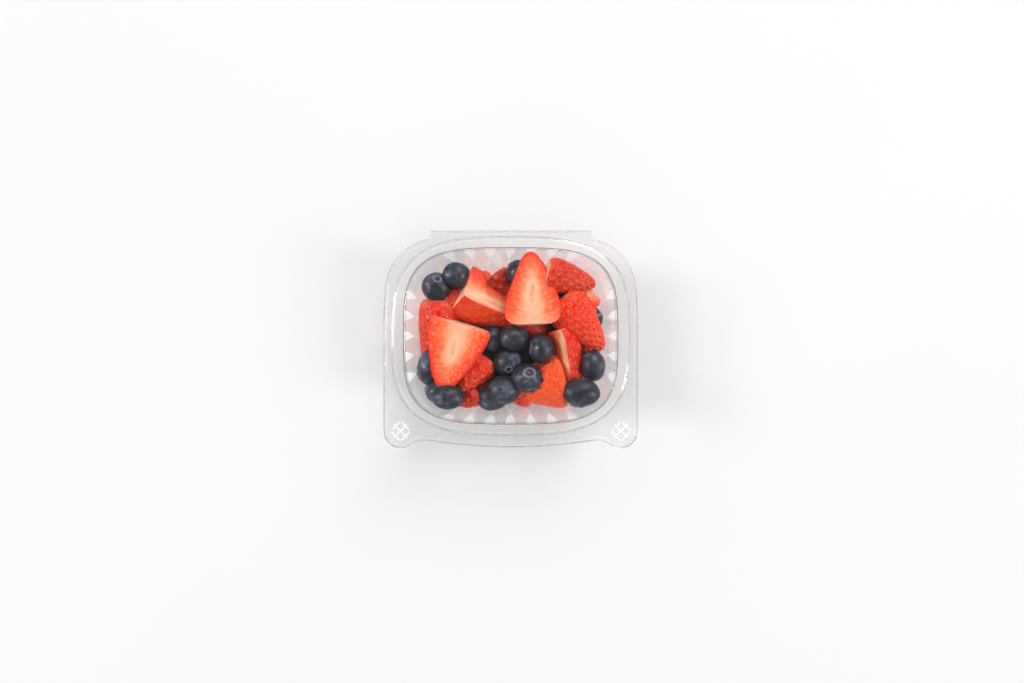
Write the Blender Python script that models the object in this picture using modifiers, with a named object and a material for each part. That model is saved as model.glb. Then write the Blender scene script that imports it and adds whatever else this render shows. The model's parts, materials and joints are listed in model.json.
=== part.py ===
"""Clear hinged deli container filled with cut strawberries and blueberries.

Three solids: the tray, the lid that swings on its back edge, and the heap of fruit in the tray.
Metres, +Z up, +Y towards the hinge. The origin is on the table, under the middle of the container.
"""

import math
import random

import bmesh
import bpy
from mathutils import Matrix, Vector

MM = 0.001

# Thermoformed sheet
SHEET = 0.5 * MM
GAP = 0.4 * MM  # between the closed lid and the tray

# Plan of the container: half sizes and power of superellipses about the middle of the mouth
MOUTH = (57.1 * MM, 46.9 * MM, 3.6)
LAND = (63.3 * MM, 52.4 * MM, 3.1)
FLANGE = (68.5 * MM, 54.9 * MM, 4.0)

# Edge of the flange: two round tabs in front, a shallow curve between them, a hinge leaf at the back
TAB_RADIUS = 8.9 * MM
TAB_Y = -51.5 * MM
TAB_FILLET = 14.9 * MM
FRONT_Y = -59.9 * MM
FRONT_RADIUS = 282 * MM
LEAF_HALF = 44.1 * MM
AXIS_Y = 57.2 * MM
AXIS_CLEARANCE = 0.3 * MM
LID_SIDE_INSET = 1.4 * MM
LID_FRONT_INSET = 2.3 * MM

# Heights of the sheet's underside
FLANGE_Z = 38.5 * MM
LAND_Z = 41.5 * MM
RIM_Z = 38.5 * MM
PANEL_Z = 48.4 * MM  # the lid's raised panel
STEP_LEAN = 0.6 * MM
PANEL_LEAN = 1.2 * MM

# The wall, as distances in from the mouth and heights
TRIANGLE_TIP = (4.0 * MM, 28.5 * MM)
RIDGE_END = (5.6 * MM, 24.5 * MM)
CELL_TIP = (10.8 * MM, 13.0 * MM)
HEEL = [(12.4 * MM, 8.5 * MM), (14.4 * MM, 3.2 * MM), (17.4 * MM, 0.0)]
FLOOR_EDGE = [(22.0 * MM, 0.0), (22.8 * MM, 1.0 * MM)]

# Facets of the wall: triangles that hang from the mouth, with cells between them
PITCH = 11.3 * MM
TRIANGLE_BASE = 5.2 * MM
TRIANGLES = (5, 7, 5, 7)  # on the right, the back, the left and the front
CORNER_COLUMNS = (6, 6, 12, 12)  # after each of those sides
CELL_BORDER = 1.2 * MM
CELL_DEPTH = 0.6 * MM

# Fruit heap. Lengths in mm about the middle of the mouth, heights in mm above the table.
HEAP_CLEARANCE = 0.5 * MM
HEAP_TOP = 43.9 * MM
CORE = [(7.0, 3.4), (6.0, 12.0), (6.0, 25.0), (17.0, 31.0)]  # inside the wall, height
# x, y, z, length along x, length along y, height
BERRIES = [
    (-40.4, 26.6, 32.5, 16.7, 16.1, 15.0),
    (-29.7, 33.2, 35.5, 14.8, 14.0, 13.5),
    (4.6, 34.8, 30.0, 14.0, 14.0, 13.0),
    (1.7, -1.4, 35.0, 16.7, 13.5, 14.0),
    (16.9, -7.1, 36.0, 13.0, 16.7, 13.5),
    (-1.7, -14.0, 31.0, 15.5, 15.5, 14.0),
    (9.1, -23.1, 36.0, 17.9, 15.8, 15.0),
    (-3.8, -29.3, 33.5, 17.4, 16.0, 15.0),
    (-10.4, -35.3, 28.0, 17.4, 14.0, 14.0),
    (-34.1, -33.2, 33.0, 17.9, 14.2, 14.0),
    (-42.3, -32.4, 28.0, 14.0, 14.0, 13.0),
    (-45.2, -17.7, 30.5, 14.0, 19.8, 14.0),
    (44.9, -16.4, 31.5, 13.5, 17.4, 14.0),
    (40.6, -32.4, 31.0, 20.8, 15.5, 15.0),
    (45.9, 9.7, 27.0, 14.0, 14.0, 13.0),
    (-9.9, -1.4, 31.0, 14.5, 14.5, 14.0),
    (-30.5, -39.3, 26.0, 14.0, 13.0, 13.0),
    (-42.3, -25.1, 22.5, 14.0, 14.0, 13.0),
]
# stem end, tip, width, depth, direction that the cut face looks in or None for a whole fruit
STRAWBERRIES = [
    ((11.4, 7.5, 41.5), (11.4, 45.2, 38.5), 30.0, 26.0, (0, 0.08, 1)),
    ((-27.3, 6.3, 41.0), (-36.8, -28.0, 37.0), 34.0, 28.0, (-0.05, -0.1, 1)),
    ((-20.0, 8.0, 32.0), (-18.6, 38.2, 34.0), 31.0, 24.0, (0.6, 0.2, 0.77)),
    ((-43.0, 18.5, 32.0), (-42.0, -9.5, 30.0), 19.0, 20.0, None),
    ((-10.0, 39.0, 27.0), (-4.0, 24.0, 29.0), 17.0, 16.0, None),
    ((21.5, 37.2, 33.5), (46.4, 30.9, 33.0), 18.0, 18.0, None),
    ((27.5, 20.5, 29.5), (50.5, -7.5, 29.5), 25.0, 25.0, None),
    ((27.0, 2.5, 36.0), (32.1, -27.1, 33.0), 19.0, 19.0, (-0.75, 0, 0.66)),
    ((32.0, -26.0, 28.0), (3.0, -33.5, 28.0), 29.0, 27.0, None),
    ((-14.0, -14.0, 31.0), (-27.0, -27.5, 29.0), 18.0, 17.0, None),
    ((-17.0, -31.0, 26.0), (-27.5, -38.5, 26.0), 13.0, 13.0, None),
    ((8.0, 9.0, 28.0), (19.0, -4.0, 27.0), 16.0, 15.0, None),
    ((45.0, 25.0, 30.5), (32.0, 14.0, 31.0), 16.0, 14.0, (0.2, 0.1, 1)),
    ((-34.5, 17.0, 28.0), (-26.0, 28.0, 30.0), 14.0, 14.0, None),
    ((13.0, -40.5, 24.0), (-3.0, -39.0, 25.0), 13.0, 13.0, None),
]
# Pieces that lie against the wall below: distance in from the mouth, height, number
LOWER_RINGS = [(22.0, 9.3, 15), (16.0, 20.5, 18)]
LOWER_SIZE = (13.0, 16.0)
FACETS = (10, 7)  # round a fruit and along it
LOWER_FACETS = (8, 5)

# The bounding box is centred on the origin, which sets where the middle of the mouth lies.
LEAF_Y = AXIS_Y - AXIS_CLEARANCE
MIDDLE_Y = -(LEAF_Y + TAB_Y - TAB_RADIUS) / 2
LID_LIFT = SHEET + GAP
AXIS_Z = FLANGE_Z + (LID_LIFT + SHEET) / 2

CLEAR = ((0.86, 0.88, 0.88), 0.08)
RED = ((0.62, 0.03, 0.02), 0.35)


def grown(oval, by):
    """A superellipse with both half sizes changed by the same length."""
    return (oval[0] + by, oval[1] + by, oval[2])


def on_oval(oval, phi):
    """Point of a superellipse at its parameter phi."""
    half_x, half_y, power = oval
    c, s = math.cos(phi), math.sin(phi)
    x = math.copysign(abs(c) ** (2 / power), c) * half_x
    y = math.copysign(abs(s) ** (2 / power), s) * half_y
    return Vector((x, y))


def phi_at(side, along):
    """Parameter of the mouth's point at this distance from the middle of a side, travelled anticlockwise."""
    half = MOUTH[1 - side % 2]
    return side * math.pi / 2 + math.asin(math.copysign(abs(along / half) ** (MOUTH[2] / 2), along))


def between(low, high, count):
    """Values evenly spaced inside an interval, without its ends."""
    return [low + (high - low) * (i + 1) / (count + 1) for i in range(count)]


def triangle_middles(side):
    """Distances of the triangles from the middle of a side."""
    return [(i - (TRIANGLES[side] - 1) / 2) * PITCH for i in range(TRIANGLES[side])]


def base_places(side):
    """Ends of the triangles' bases along a side."""
    return [t + half for t in triangle_middles(side) for half in (-TRIANGLE_BASE / 2, TRIANGLE_BASE / 2)]


def tip_places(side):
    """Tips of the cells along a side, with one more at each end."""
    middles = triangle_middles(side)
    return [middles[0] - PITCH / 2, *[t + PITCH / 2 for t in middles]]


def ring_phis(places):
    """Parameters of a ring: each side's own places, then the corner columns after it."""
    phis = []
    for side in range(4):
        phis += [phi_at(side, along) for along in places(side)]
        last, after = phi_at(side, tip_places(side)[-1]), phi_at(side + 1, tip_places((side + 1) % 4)[0])
        phis += between(last, after, CORNER_COLUMNS[side])
    return phis


def ring(bm, points, z):
    """Vertices at these plan points, at one height."""
    return [bm.verts.new((p.x, p.y + MIDDLE_Y, z)) for p in points]


def oval_ring(bm, oval, z, places):
    """Ring of vertices on a superellipse."""
    return ring(bm, [on_oval(oval, phi) for phi in ring_phis(places)], z)


def join_rings(bm, outer, inner):
    """Quads between two rings with the same number of points."""
    for i in range(len(outer)):
        j = (i + 1) % len(outer)
        bm.faces.new((outer[i], outer[j], inner[j], inner[i]))


def arc(centre, radius, start, end, steps=24):
    """Points along a circular arc from one angle to another."""
    angles = [start + (end - start) * i / steps for i in range(steps + 1)]
    return [centre + radius * Vector((math.cos(a), math.sin(a))) for a in angles]


def evenly_along(points, count):
    """This many points inside a dense line, evenly spaced along it, without its ends."""
    lengths = [0.0]
    for a, b in zip(points, points[1:]):
        lengths.append(lengths[-1] + (b - a).length)
    found, i = [], 0
    for wanted in between(0.0, lengths[-1], count):
        while lengths[i + 1] < wanted:
            i += 1
        share = (wanted - lengths[i]) / (lengths[i + 1] - lengths[i])
        found.append(points[i].lerp(points[i + 1], share))
    return found


def front_corner(side_inset, front_inset, start_y, end_x):
    """Right front corner of a flange: down its side, round the tab and a fillet, to the front edge at end_x."""
    side_x, tab_radius = FLANGE[0] - side_inset, TAB_RADIUS - side_inset
    front_radius, fillet = FRONT_RADIUS - front_inset, TAB_FILLET + side_inset
    tab = Vector((side_x - tab_radius, TAB_Y))
    middle = Vector((0, FRONT_RADIUS + FRONT_Y))
    # The fillet touches both circles from outside, so its middle is where two larger circles cross.
    to_tab, to_front = tab_radius + fillet, front_radius + fillet
    line = tab - middle
    along = (line.length_squared + to_front**2 - to_tab**2) / (2 * line.length)
    across = math.sqrt(to_front**2 - along**2)
    unit = line.normalized()
    centre = middle + along * unit + across * Vector((unit.y, -unit.x))
    into_tab, into_front = tab - centre, middle - centre
    touch = centre + into_front.normalized() * fillet - middle
    fillet_start = math.atan2(into_tab.y, into_tab.x)
    fillet_end = math.atan2(into_front.y, into_front.x)
    tab_end = math.atan2(-into_tab.y, -into_tab.x)
    front_start = math.atan2(touch.y, touch.x)
    front_end = -math.pi / 2 + math.asin(end_x / front_radius)
    return [
        Vector((side_x, start_y)),
        *arc(tab, tab_radius, 0.0, tab_end),
        *arc(centre, fillet, fillet_start, fillet_end)[1:],
        *arc(middle, front_radius, front_start, front_end)[1:],
    ]


def mirrored(points):
    """The same points on the left side, in the opposite order."""
    return [Vector((-p.x, p.y)) for p in reversed(points)]


def flange_outline(side_inset, front_inset):
    """Edge of a flange with its tabs and hinge leaf: one point for each of the mouth's points."""
    half_x, half_y, power = grown(FLANGE, -side_inset)
    right = []
    for y in base_places(0):
        right.append(Vector((half_x * (1 - (max(y, 0) / half_y) ** power) ** (1 / power), y)))
    start = math.asin((right[-1].y / half_y) ** (power / 2))
    end = math.acos((LEAF_HALF / half_x) ** (power / 2))
    back_right = [on_oval((half_x, half_y, power), phi) for phi in between(start, end, CORNER_COLUMNS[0])]
    leaf_side = [on_oval((half_x, half_y, power), end), Vector((LEAF_HALF, LEAF_Y))]
    edge = [Vector((x, LEAF_Y)) for x in between(LEAF_HALF, -LEAF_HALF, 2 * TRIANGLES[1] - 4)]
    front_xs = base_places(3)
    corner = evenly_along(
        front_corner(side_inset, front_inset, right[0].y, front_xs[-1]), CORNER_COLUMNS[3]
    )
    radius = FRONT_RADIUS - front_inset
    front = [Vector((x, FRONT_RADIUS + FRONT_Y - math.sqrt(radius**2 - x**2))) for x in front_xs]
    back = [*leaf_side, *edge, *mirrored(leaf_side)]
    return [
        *right, *back_right, *back, *mirrored(back_right), *mirrored(right),
        *mirrored(corner[::-1]), *front, *reversed(corner),
    ]


def rim_rings(bm, outline, lift):
    """Flange, step and land of the tray or the lid, from the outside in. Returns the last ring."""
    low, high = FLANGE_Z + lift, LAND_Z + lift
    rings = [
        ring(bm, outline, low),
        oval_ring(bm, grown(LAND, lift + STEP_LEAN), low, base_places),
        oval_ring(bm, grown(LAND, lift), high, base_places),
        oval_ring(bm, grown(MOUTH, SHEET), high, base_places),
    ]
    for outer, inner in zip(rings, rings[1:]):
        join_rings(bm, outer, inner)
    return rings[-1]


def faceted_wall(bm, mouth, tips, ends, cell_tips):
    """Triangles and cells between four rings. Returns the cells."""
    cells, a, b, c = [], 0, 0, 0
    rows = [mouth, tips, ends, cell_tips]
    for side in range(4):
        count, corner = TRIANGLES[side], CORNER_COLUMNS[side]
        for i in range(count):
            left, right = mouth[a + 2 * i], mouth[a + 2 * i + 1]
            bm.faces.new((left, right, tips[b + i]))
            if i < count - 1:
                loop = [right, mouth[a + 2 * i + 2], tips[b + i + 1], ends[b + i + 1]]
                loop += [cell_tips[c + i + 1], ends[b + i], tips[b + i]]
                cells.append(bm.faces.new(loop))
        a, b, c = a + 2 * count - 1, b + count - 1, c + count
        for i in range(corner + 1):
            here = [mouth[(a + i) % len(mouth)], tips[(b + i) % len(tips)]]
            here += [ends[(b + i) % len(ends)], cell_tips[(c + i) % len(cell_tips)]]
            after = [mouth[(a + i + 1) % len(mouth)], tips[(b + i + 1) % len(tips)]]
            after += [ends[(b + i + 1) % len(ends)], cell_tips[(c + i + 1) % len(cell_tips)]]
            for row in range(len(rows) - 1):
                bm.faces.new((here[row], after[row], after[row + 1], here[row + 1]))
        a, b, c = a + corner + 1, b + corner + 1, c + corner + 1
    return cells


def lower_panels(bm, ends, cell_tips, below):
    """Panels under the triangles, down to the heel. Returns those under the triangles themselves."""
    panels, b, c = [], 0, 0
    for side in range(4):
        count, corner = TRIANGLES[side], CORNER_COLUMNS[side]
        for i in range(count):
            loop = [ends[b + i], cell_tips[c + i + 1], below[c + i + 1], below[c + i], cell_tips[c + i]]
            panels.append(bm.faces.new(loop))
        b, c = b + count + corner, c + count
        for i in range(corner + 1):
            here, after = (c + i) % len(below), (c + i + 1) % len(below)
            bm.faces.new((cell_tips[here], cell_tips[after], below[after], below[here]))
        c += corner + 1
    return panels


def new_object(name, bm, collection, finish):
    """Mesh object from a bmesh, with its own material."""
    mesh = bpy.data.meshes.new(name)
    bmesh.ops.recalc_face_normals(bm, faces=bm.faces)
    bm.to_mesh(mesh)
    bm.free()
    thing = bpy.data.objects.new(name, mesh)
    collection.objects.link(thing)
    colour, roughness = finish
    material = bpy.data.materials.new(name)
    material.use_nodes = True
    shader = material.node_tree.nodes["Principled BSDF"]
    shader.inputs["Base Color"].default_value = (*colour, 1.0)
    shader.inputs["Roughness"].default_value = roughness
    shader.inputs["Metallic"].default_value = 0.0
    mesh.materials.append(material)
    return thing


def thicken(thing):
    """Gives a formed sheet its thickness, on the upper and inner side."""
    mesh = thing.data
    if mesh.polygons[len(mesh.polygons) - 1].normal.z < 0:
        mesh.flip_normals()
    solid = thing.modifiers.new("Sheet", "SOLIDIFY")
    solid.thickness = SHEET
    solid.offset = 1.0
    solid.use_even_offset = True


def make_tray(collection):
    """Tray with a foot, a faceted wall, a raised land round its mouth and a flange."""
    bm = bmesh.new()
    land = rim_rings(bm, flange_outline(0.0, 0.0), 0.0)
    mouth = oval_ring(bm, MOUTH, RIM_Z, base_places)
    join_rings(bm, land, mouth)
    middle_rings = []
    for inset, z in (TRIANGLE_TIP, RIDGE_END):
        middle_rings.append(oval_ring(bm, grown(MOUTH, -inset), z, triangle_middles))
    lower_rings = []
    for inset, z in (CELL_TIP, *HEEL, *FLOOR_EDGE):
        lower_rings.append(oval_ring(bm, grown(MOUTH, -inset), z, tip_places))
    cells = faceted_wall(bm, mouth, *middle_rings, lower_rings[0])
    panels = lower_panels(bm, middle_rings[1], *lower_rings[:2])
    for outer, inner in zip(lower_rings[1:], lower_rings[2:]):
        join_rings(bm, outer, inner)
    bmesh.ops.recalc_face_normals(bm, faces=bm.faces)
    # The cells start on the right, where outward is towards +X.
    outward = math.copysign(CELL_DEPTH, cells[0].normal.x)
    bmesh.ops.inset_individual(bm, faces=cells, thickness=CELL_BORDER, depth=outward)
    bmesh.ops.inset_individual(bm, faces=panels, thickness=CELL_BORDER, depth=outward * 0.6)
    bm.faces.new(lower_rings[-1])
    tray = new_object("tray", bm, collection, CLEAR)
    thicken(tray)
    return tray


def make_lid(collection, pivot):
    """Lid with a flange, a channel over the tray's land and a low raised panel."""
    bm = bmesh.new()
    land = rim_rings(bm, flange_outline(LID_SIDE_INSET, LID_FRONT_INSET), LID_LIFT)
    panel = oval_ring(bm, grown(MOUTH, SHEET - PANEL_LEAN), PANEL_Z, base_places)
    join_rings(bm, land, panel)
    bm.faces.new(panel)
    bmesh.ops.translate(bm, verts=bm.verts, vec=-pivot.location)
    lid = new_object("lid", bm, collection, CLEAR)
    lid.parent = pivot
    thicken(lid)
    return lid


def cavity(z):
    """Superellipse of the free space in the tray, at a height."""
    levels = [(0.0, RIM_Z), TRIANGLE_TIP, RIDGE_END, CELL_TIP, *HEEL]
    for (upper, upper_z), (lower, lower_z) in zip(levels, levels[1:]):
        if z >= lower_z:
            share = min(1.0, (z - lower_z) / (upper_z - lower_z))
            return grown(MOUTH, -(lower + (upper - lower) * share) - 2 * SHEET - HEAP_CLEARANCE)
    return grown(MOUTH, -HEEL[-1][0] - 2 * SHEET - HEAP_CLEARANCE)


def loft(levels, segments):
    """Closed solid through superellipses at their heights."""
    bm = bmesh.new()
    rings = []
    for oval, z in levels:
        rings.append(ring(bm, [on_oval(oval, i * math.tau / segments) for i in range(segments)], z))
    for outer, inner in zip(rings, rings[1:]):
        join_rings(bm, outer, inner)
    bm.faces.new(rings[0][::-1])
    bm.faces.new(rings[-1])
    return bm


def place(x, y, z):
    """Point of the heap, from millimetres about the middle of the mouth."""
    return Vector((x * MM, y * MM + MIDDLE_Y, z * MM))


def blueberry(x, y, z, *size, facets=FACETS):
    """Blueberry as a slightly flat ball."""
    bm = bmesh.new()
    scale = Matrix.Diagonal(Vector(size) * MM).to_4x4()
    bmesh.ops.create_uvsphere(
        bm, u_segments=facets[0], v_segments=facets[1], radius=0.5,
        matrix=Matrix.Translation(place(x, y, z)) @ scale,
    )
    return bm


def strawberry(stem, tip, width, depth, cut, facets=FACETS):
    """Strawberry from its stem end to its tip, whole or halved along its length."""
    stem, tip = place(*stem), place(*tip)
    length = (tip - stem).length
    bm = bmesh.new()
    bmesh.ops.create_uvsphere(bm, u_segments=facets[0] + 2, v_segments=facets[1] + 1, radius=0.5)
    for vertex in bm.verts:
        # Fuller near the stem end, narrow towards the tip
        taper = 1.16 - 0.42 * (vertex.co.z + 0.5)
        vertex.co.x *= taper * depth * MM
        vertex.co.y *= taper * width * MM
        vertex.co.z *= length
    along = (tip - stem).normalized()
    facing = Vector(cut) if cut else Vector((0, 0, 1))
    facing = (facing - facing.dot(along) * along).normalized()
    turn = Matrix((facing, along.cross(facing), along)).transposed().to_4x4()
    bm.transform(Matrix.Translation((stem + tip) / 2) @ turn)
    if cut:
        geometry = bm.verts[:] + bm.edges[:] + bm.faces[:]
        middle = (stem + tip) / 2 + 0.2 * MM * facing
        bmesh.ops.bisect_plane(bm, geom=geometry, plane_co=middle, plane_no=facing, clear_outer=True)
        bmesh.ops.holes_fill(bm, edges=bm.edges, sides=0)
    return bm


def lower_pieces():
    """Fruit against the wall below the top layer, alternately whole berries and strawberries."""
    chance = random.Random(3)
    for inset, z, count in LOWER_RINGS:
        for i in range(count):
            phi = math.tau * (i + 0.35 * chance.random()) / count
            spot = on_oval(grown(MOUTH, -inset * MM), phi) / MM
            size = chance.uniform(*LOWER_SIZE)
            if i % 3:
                height = z + chance.uniform(-1, 1)
                yield blueberry(spot.x, spot.y, height, size, size, size * 0.86, facets=LOWER_FACETS)
                continue
            lean = Vector((-spot.y, spot.x)).normalized() * size * 0.75
            ends = [(spot.x + s * lean.x, spot.y + s * lean.y, z + s * 2) for s in (-1, 1)]
            yield strawberry(*ends, size * 1.15, size, None, facets=LOWER_FACETS)


def keep_outer_body(bm):
    """Removes closed hollows that were left between the pieces."""
    bodies, seen = [], set()
    for start in bm.faces:
        if start in seen:
            continue
        body, waiting = [], [start]
        seen.add(start)
        while waiting:
            face = waiting.pop()
            body.append(face)
            for edge in face.edges:
                for other in edge.link_faces:
                    if other not in seen:
                        seen.add(other)
                        waiting.append(other)
        bodies.append(body)
    bodies.sort(key=len)
    for body in bodies[:-1]:
        bmesh.ops.delete(bm, geom=body, context="FACES")


def apply_boolean(heap, operation, **operand):
    """Exact Boolean on the heap, applied at once."""
    cut = heap.modifiers.new(operation, "BOOLEAN")
    cut.operation = operation
    cut.solver = "EXACT"
    for name, value in operand.items():
        setattr(cut, name, value)
    with bpy.context.temp_override(object=heap, active_object=heap):
        bpy.ops.object.modifier_apply(modifier=cut.name)


def make_fruit(collection, pieces, cutters):
    """Heap of fruit: a core with the pieces that show joined to it, flat where they meet the container."""
    core = [(grown(cavity(z * MM), -inset * MM), z * MM) for inset, z in CORE]
    heap = new_object("fruit", loft(core, 28), collection, RED)
    shapes = [blueberry(*berry) for berry in BERRIES]
    shapes += [strawberry(*berry) for berry in STRAWBERRIES]
    shapes += list(lower_pieces())
    for i, shape in enumerate(shapes):
        new_object(f"piece {i}", shape, pieces, RED)
    floor = FLOOR_EDGE[-1][1] + SHEET + HEAP_CLEARANCE
    heights = [floor, HEEL[1][1], HEEL[0][1], CELL_TIP[1], RIDGE_END[1], TRIANGLE_TIP[1], RIM_Z, HEAP_TOP]
    room = new_object("room in the tray", loft([(cavity(z), z) for z in heights], 56), cutters, CLEAR)
    room.hide_render = True
    room.display_type = "WIRE"
    apply_boolean(heap, "UNION", operand_type="COLLECTION", collection=pieces)
    apply_boolean(heap, "INTERSECT", object=room)
    for thing in list(pieces.objects):
        bpy.data.objects.remove(thing)
    bm = bmesh.new()
    bm.from_mesh(heap.data)
    keep_outer_body(bm)
    bmesh.ops.triangulate(bm, faces=[face for face in bm.faces if len(face.verts) > 4])
    bm.to_mesh(heap.data)
    bm.free()
    heap.data.materials.clear()
    heap.data.materials.append(bpy.data.materials["fruit"])


def main():
    for thing in list(bpy.data.objects):
        bpy.data.objects.remove(thing)
    scene = bpy.context.scene
    container = bpy.data.collections.new("hinged deli container")
    pieces = bpy.data.collections.new("fruit pieces")
    cutters = bpy.data.collections.new("cutters")
    for collection in (container, pieces, cutters):
        scene.collection.children.link(collection)
    pivot = bpy.data.objects.new("lid hinge", None)
    pivot.location = (0.0, AXIS_Y + MIDDLE_Y, AXIS_Z)
    container.objects.link(pivot)
    make_tray(container)
    make_lid(container, pivot)
    make_fruit(container, pieces, cutters)


if __name__ == "__main__":
    main()
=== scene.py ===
"""Clear hinged deli container filled with cut strawberries and blueberries, on a pale table.

Run as a script, it registers its tools, uses them in order and leaves the finished scene.
Lengths in the tables are in millimetres, about the middle of the container's mouth.
"""

import json
import math
import random
from itertools import product

import bmesh
import bpy
import numpy as np
from bpy.props import FloatProperty, FloatVectorProperty, PointerProperty
from mathutils import Matrix, Vector, noise
from mathutils.kdtree import KDTree


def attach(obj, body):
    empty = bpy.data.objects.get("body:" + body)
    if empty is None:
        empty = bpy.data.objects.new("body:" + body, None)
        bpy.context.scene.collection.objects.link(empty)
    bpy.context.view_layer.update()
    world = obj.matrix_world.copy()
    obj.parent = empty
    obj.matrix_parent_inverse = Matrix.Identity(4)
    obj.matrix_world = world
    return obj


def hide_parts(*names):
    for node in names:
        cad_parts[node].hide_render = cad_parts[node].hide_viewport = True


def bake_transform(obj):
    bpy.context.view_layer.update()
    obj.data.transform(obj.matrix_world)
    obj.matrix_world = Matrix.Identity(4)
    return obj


bl_info = {
    "name": "Deli Fruit Container",
    "version": (1, 0, 0),
    "blender": (4, 5, 0),
    "location": "3D View > Sidebar > Deli",
    "description": "Builds a clear hinged container filled with cut strawberries and blueberries",
    "category": "Object",
}

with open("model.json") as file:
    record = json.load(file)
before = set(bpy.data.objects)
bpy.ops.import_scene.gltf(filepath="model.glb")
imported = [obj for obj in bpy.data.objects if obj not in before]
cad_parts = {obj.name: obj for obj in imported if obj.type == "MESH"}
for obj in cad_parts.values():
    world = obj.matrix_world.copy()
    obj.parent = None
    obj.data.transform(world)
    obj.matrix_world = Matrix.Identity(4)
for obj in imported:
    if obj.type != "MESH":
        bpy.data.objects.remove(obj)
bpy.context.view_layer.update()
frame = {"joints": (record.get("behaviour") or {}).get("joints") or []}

MM = 0.001
HINGE = Vector(frame["joints"][0]["pos_m"])

# Plan of the container: half sizes and power of superellipses
MOUTH = (57.1 * MM, 46.9 * MM, 3.6)
LAND = (63.3 * MM, 52.4 * MM, 3.1)
FLANGE = (68.5 * MM, 54.9 * MM, 4.0)
MIDDLE_Y = 1.75 * MM

# Edge of the flange: two round tabs in front, a shallow curve between them, a hinge leaf at the back
TAB = Vector((59.6, -51.5)) * MM
TAB_RADIUS = 8.9 * MM
TAB_FILLET = 14.9 * MM
FRONT_Y = -59.9 * MM
FRONT_RADIUS = 282 * MM
LEAF_HALF = 44.1 * MM
LEAF_Y = HINGE.y - MIDDLE_Y - 0.3 * MM
LID_SIDE_INSET = 1.4 * MM
LID_FRONT_INSET = 2.3 * MM

# The sheet's thickness, the heights of its underside, and how much higher the lid's is
SHEET = 0.5 * MM
FLANGE_Z = 38.5 * MM
LAND_Z = 41.5 * MM
RIM_Z = 38.5 * MM
PANEL_Z = 48.4 * MM
LID_LIFT = 0.9 * MM

# Steps and bends: how far each goes sideways or down
STEP_LEAN = 0.6 * MM
PANEL_LEAN = 0.6 * MM
LID_GAP = 0.65 * MM
LAND_BULGE = 0.1 * MM
CHAMFER = (0.6 * MM, 0.35 * MM)
EDGE_DROP = 0.5 * MM
EDGE_WIDTH = 0.35 * MM
STEP_BEND = 0.5 * MM
PANEL_BEND = 0.9 * MM
WINDOW_RISE = 0.5 * MM  # the lid is clearer from this far above its channel

# Rounding of a formed sheet: width and least angle in degrees, for its bends and for its cut edge
BENDS = (0.4 * MM, 18)
CUT_EDGE = (0.2 * MM, 60)

# The web of the hinge, with a small notch in its middle. Its thickness is a share of the sheet's.
FOLD_REACH = 1.5 * MM
FOLD_THICKNESS = 0.8
FOLD_STEPS = 14
FOLD_EDGE = (0.12 * MM, math.degrees(1))
NOTCH = 3.0 * MM
NOTCH_DEPTH = 0.55 * FOLD_REACH

# Ribs of a grip: pairs that cross, each with its distance from the middle of the tab and its length
GRIP_ROWS = ((-3.8 * MM, 6.6 * MM), (0.0, 10.2 * MM), (3.8 * MM, 6.6 * MM))
GRIP_WIDTH = 0.7 * MM
GRIP_HEIGHT = 0.5 * MM

# The wall, as distances in from the mouth and heights
TRIANGLE_TIP = (4.0 * MM, 28.5 * MM)
RIDGE_END = (5.6 * MM, 24.5 * MM)
CELL_TIP = (10.8 * MM, 13.0 * MM)
HEEL = [(12.4 * MM, 8.5 * MM), (13.3 * MM, 5.6 * MM), (14.4 * MM, 3.2 * MM), (15.7 * MM, 1.2 * MM)]
FOOT = [(17.4 * MM, 0.0), (22.0 * MM, 0.0), (22.8 * MM, 1.0 * MM)]

# Facets of the wall: triangles that hang from the mouth, with cells between them
PITCH = 11.3 * MM
TRIANGLE_BASE = 5.2 * MM
TRIANGLES = (5, 7, 5, 7)  # on the right, the back, the left and the front
CORNER_COLUMNS = (14, 14, 30, 30)  # after each of those sides
FACETS_FROM = 5 * MM
LOWER_DEPTH = 0.6  # depth of the faces between the cells' tips, as a share of a cell's

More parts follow.
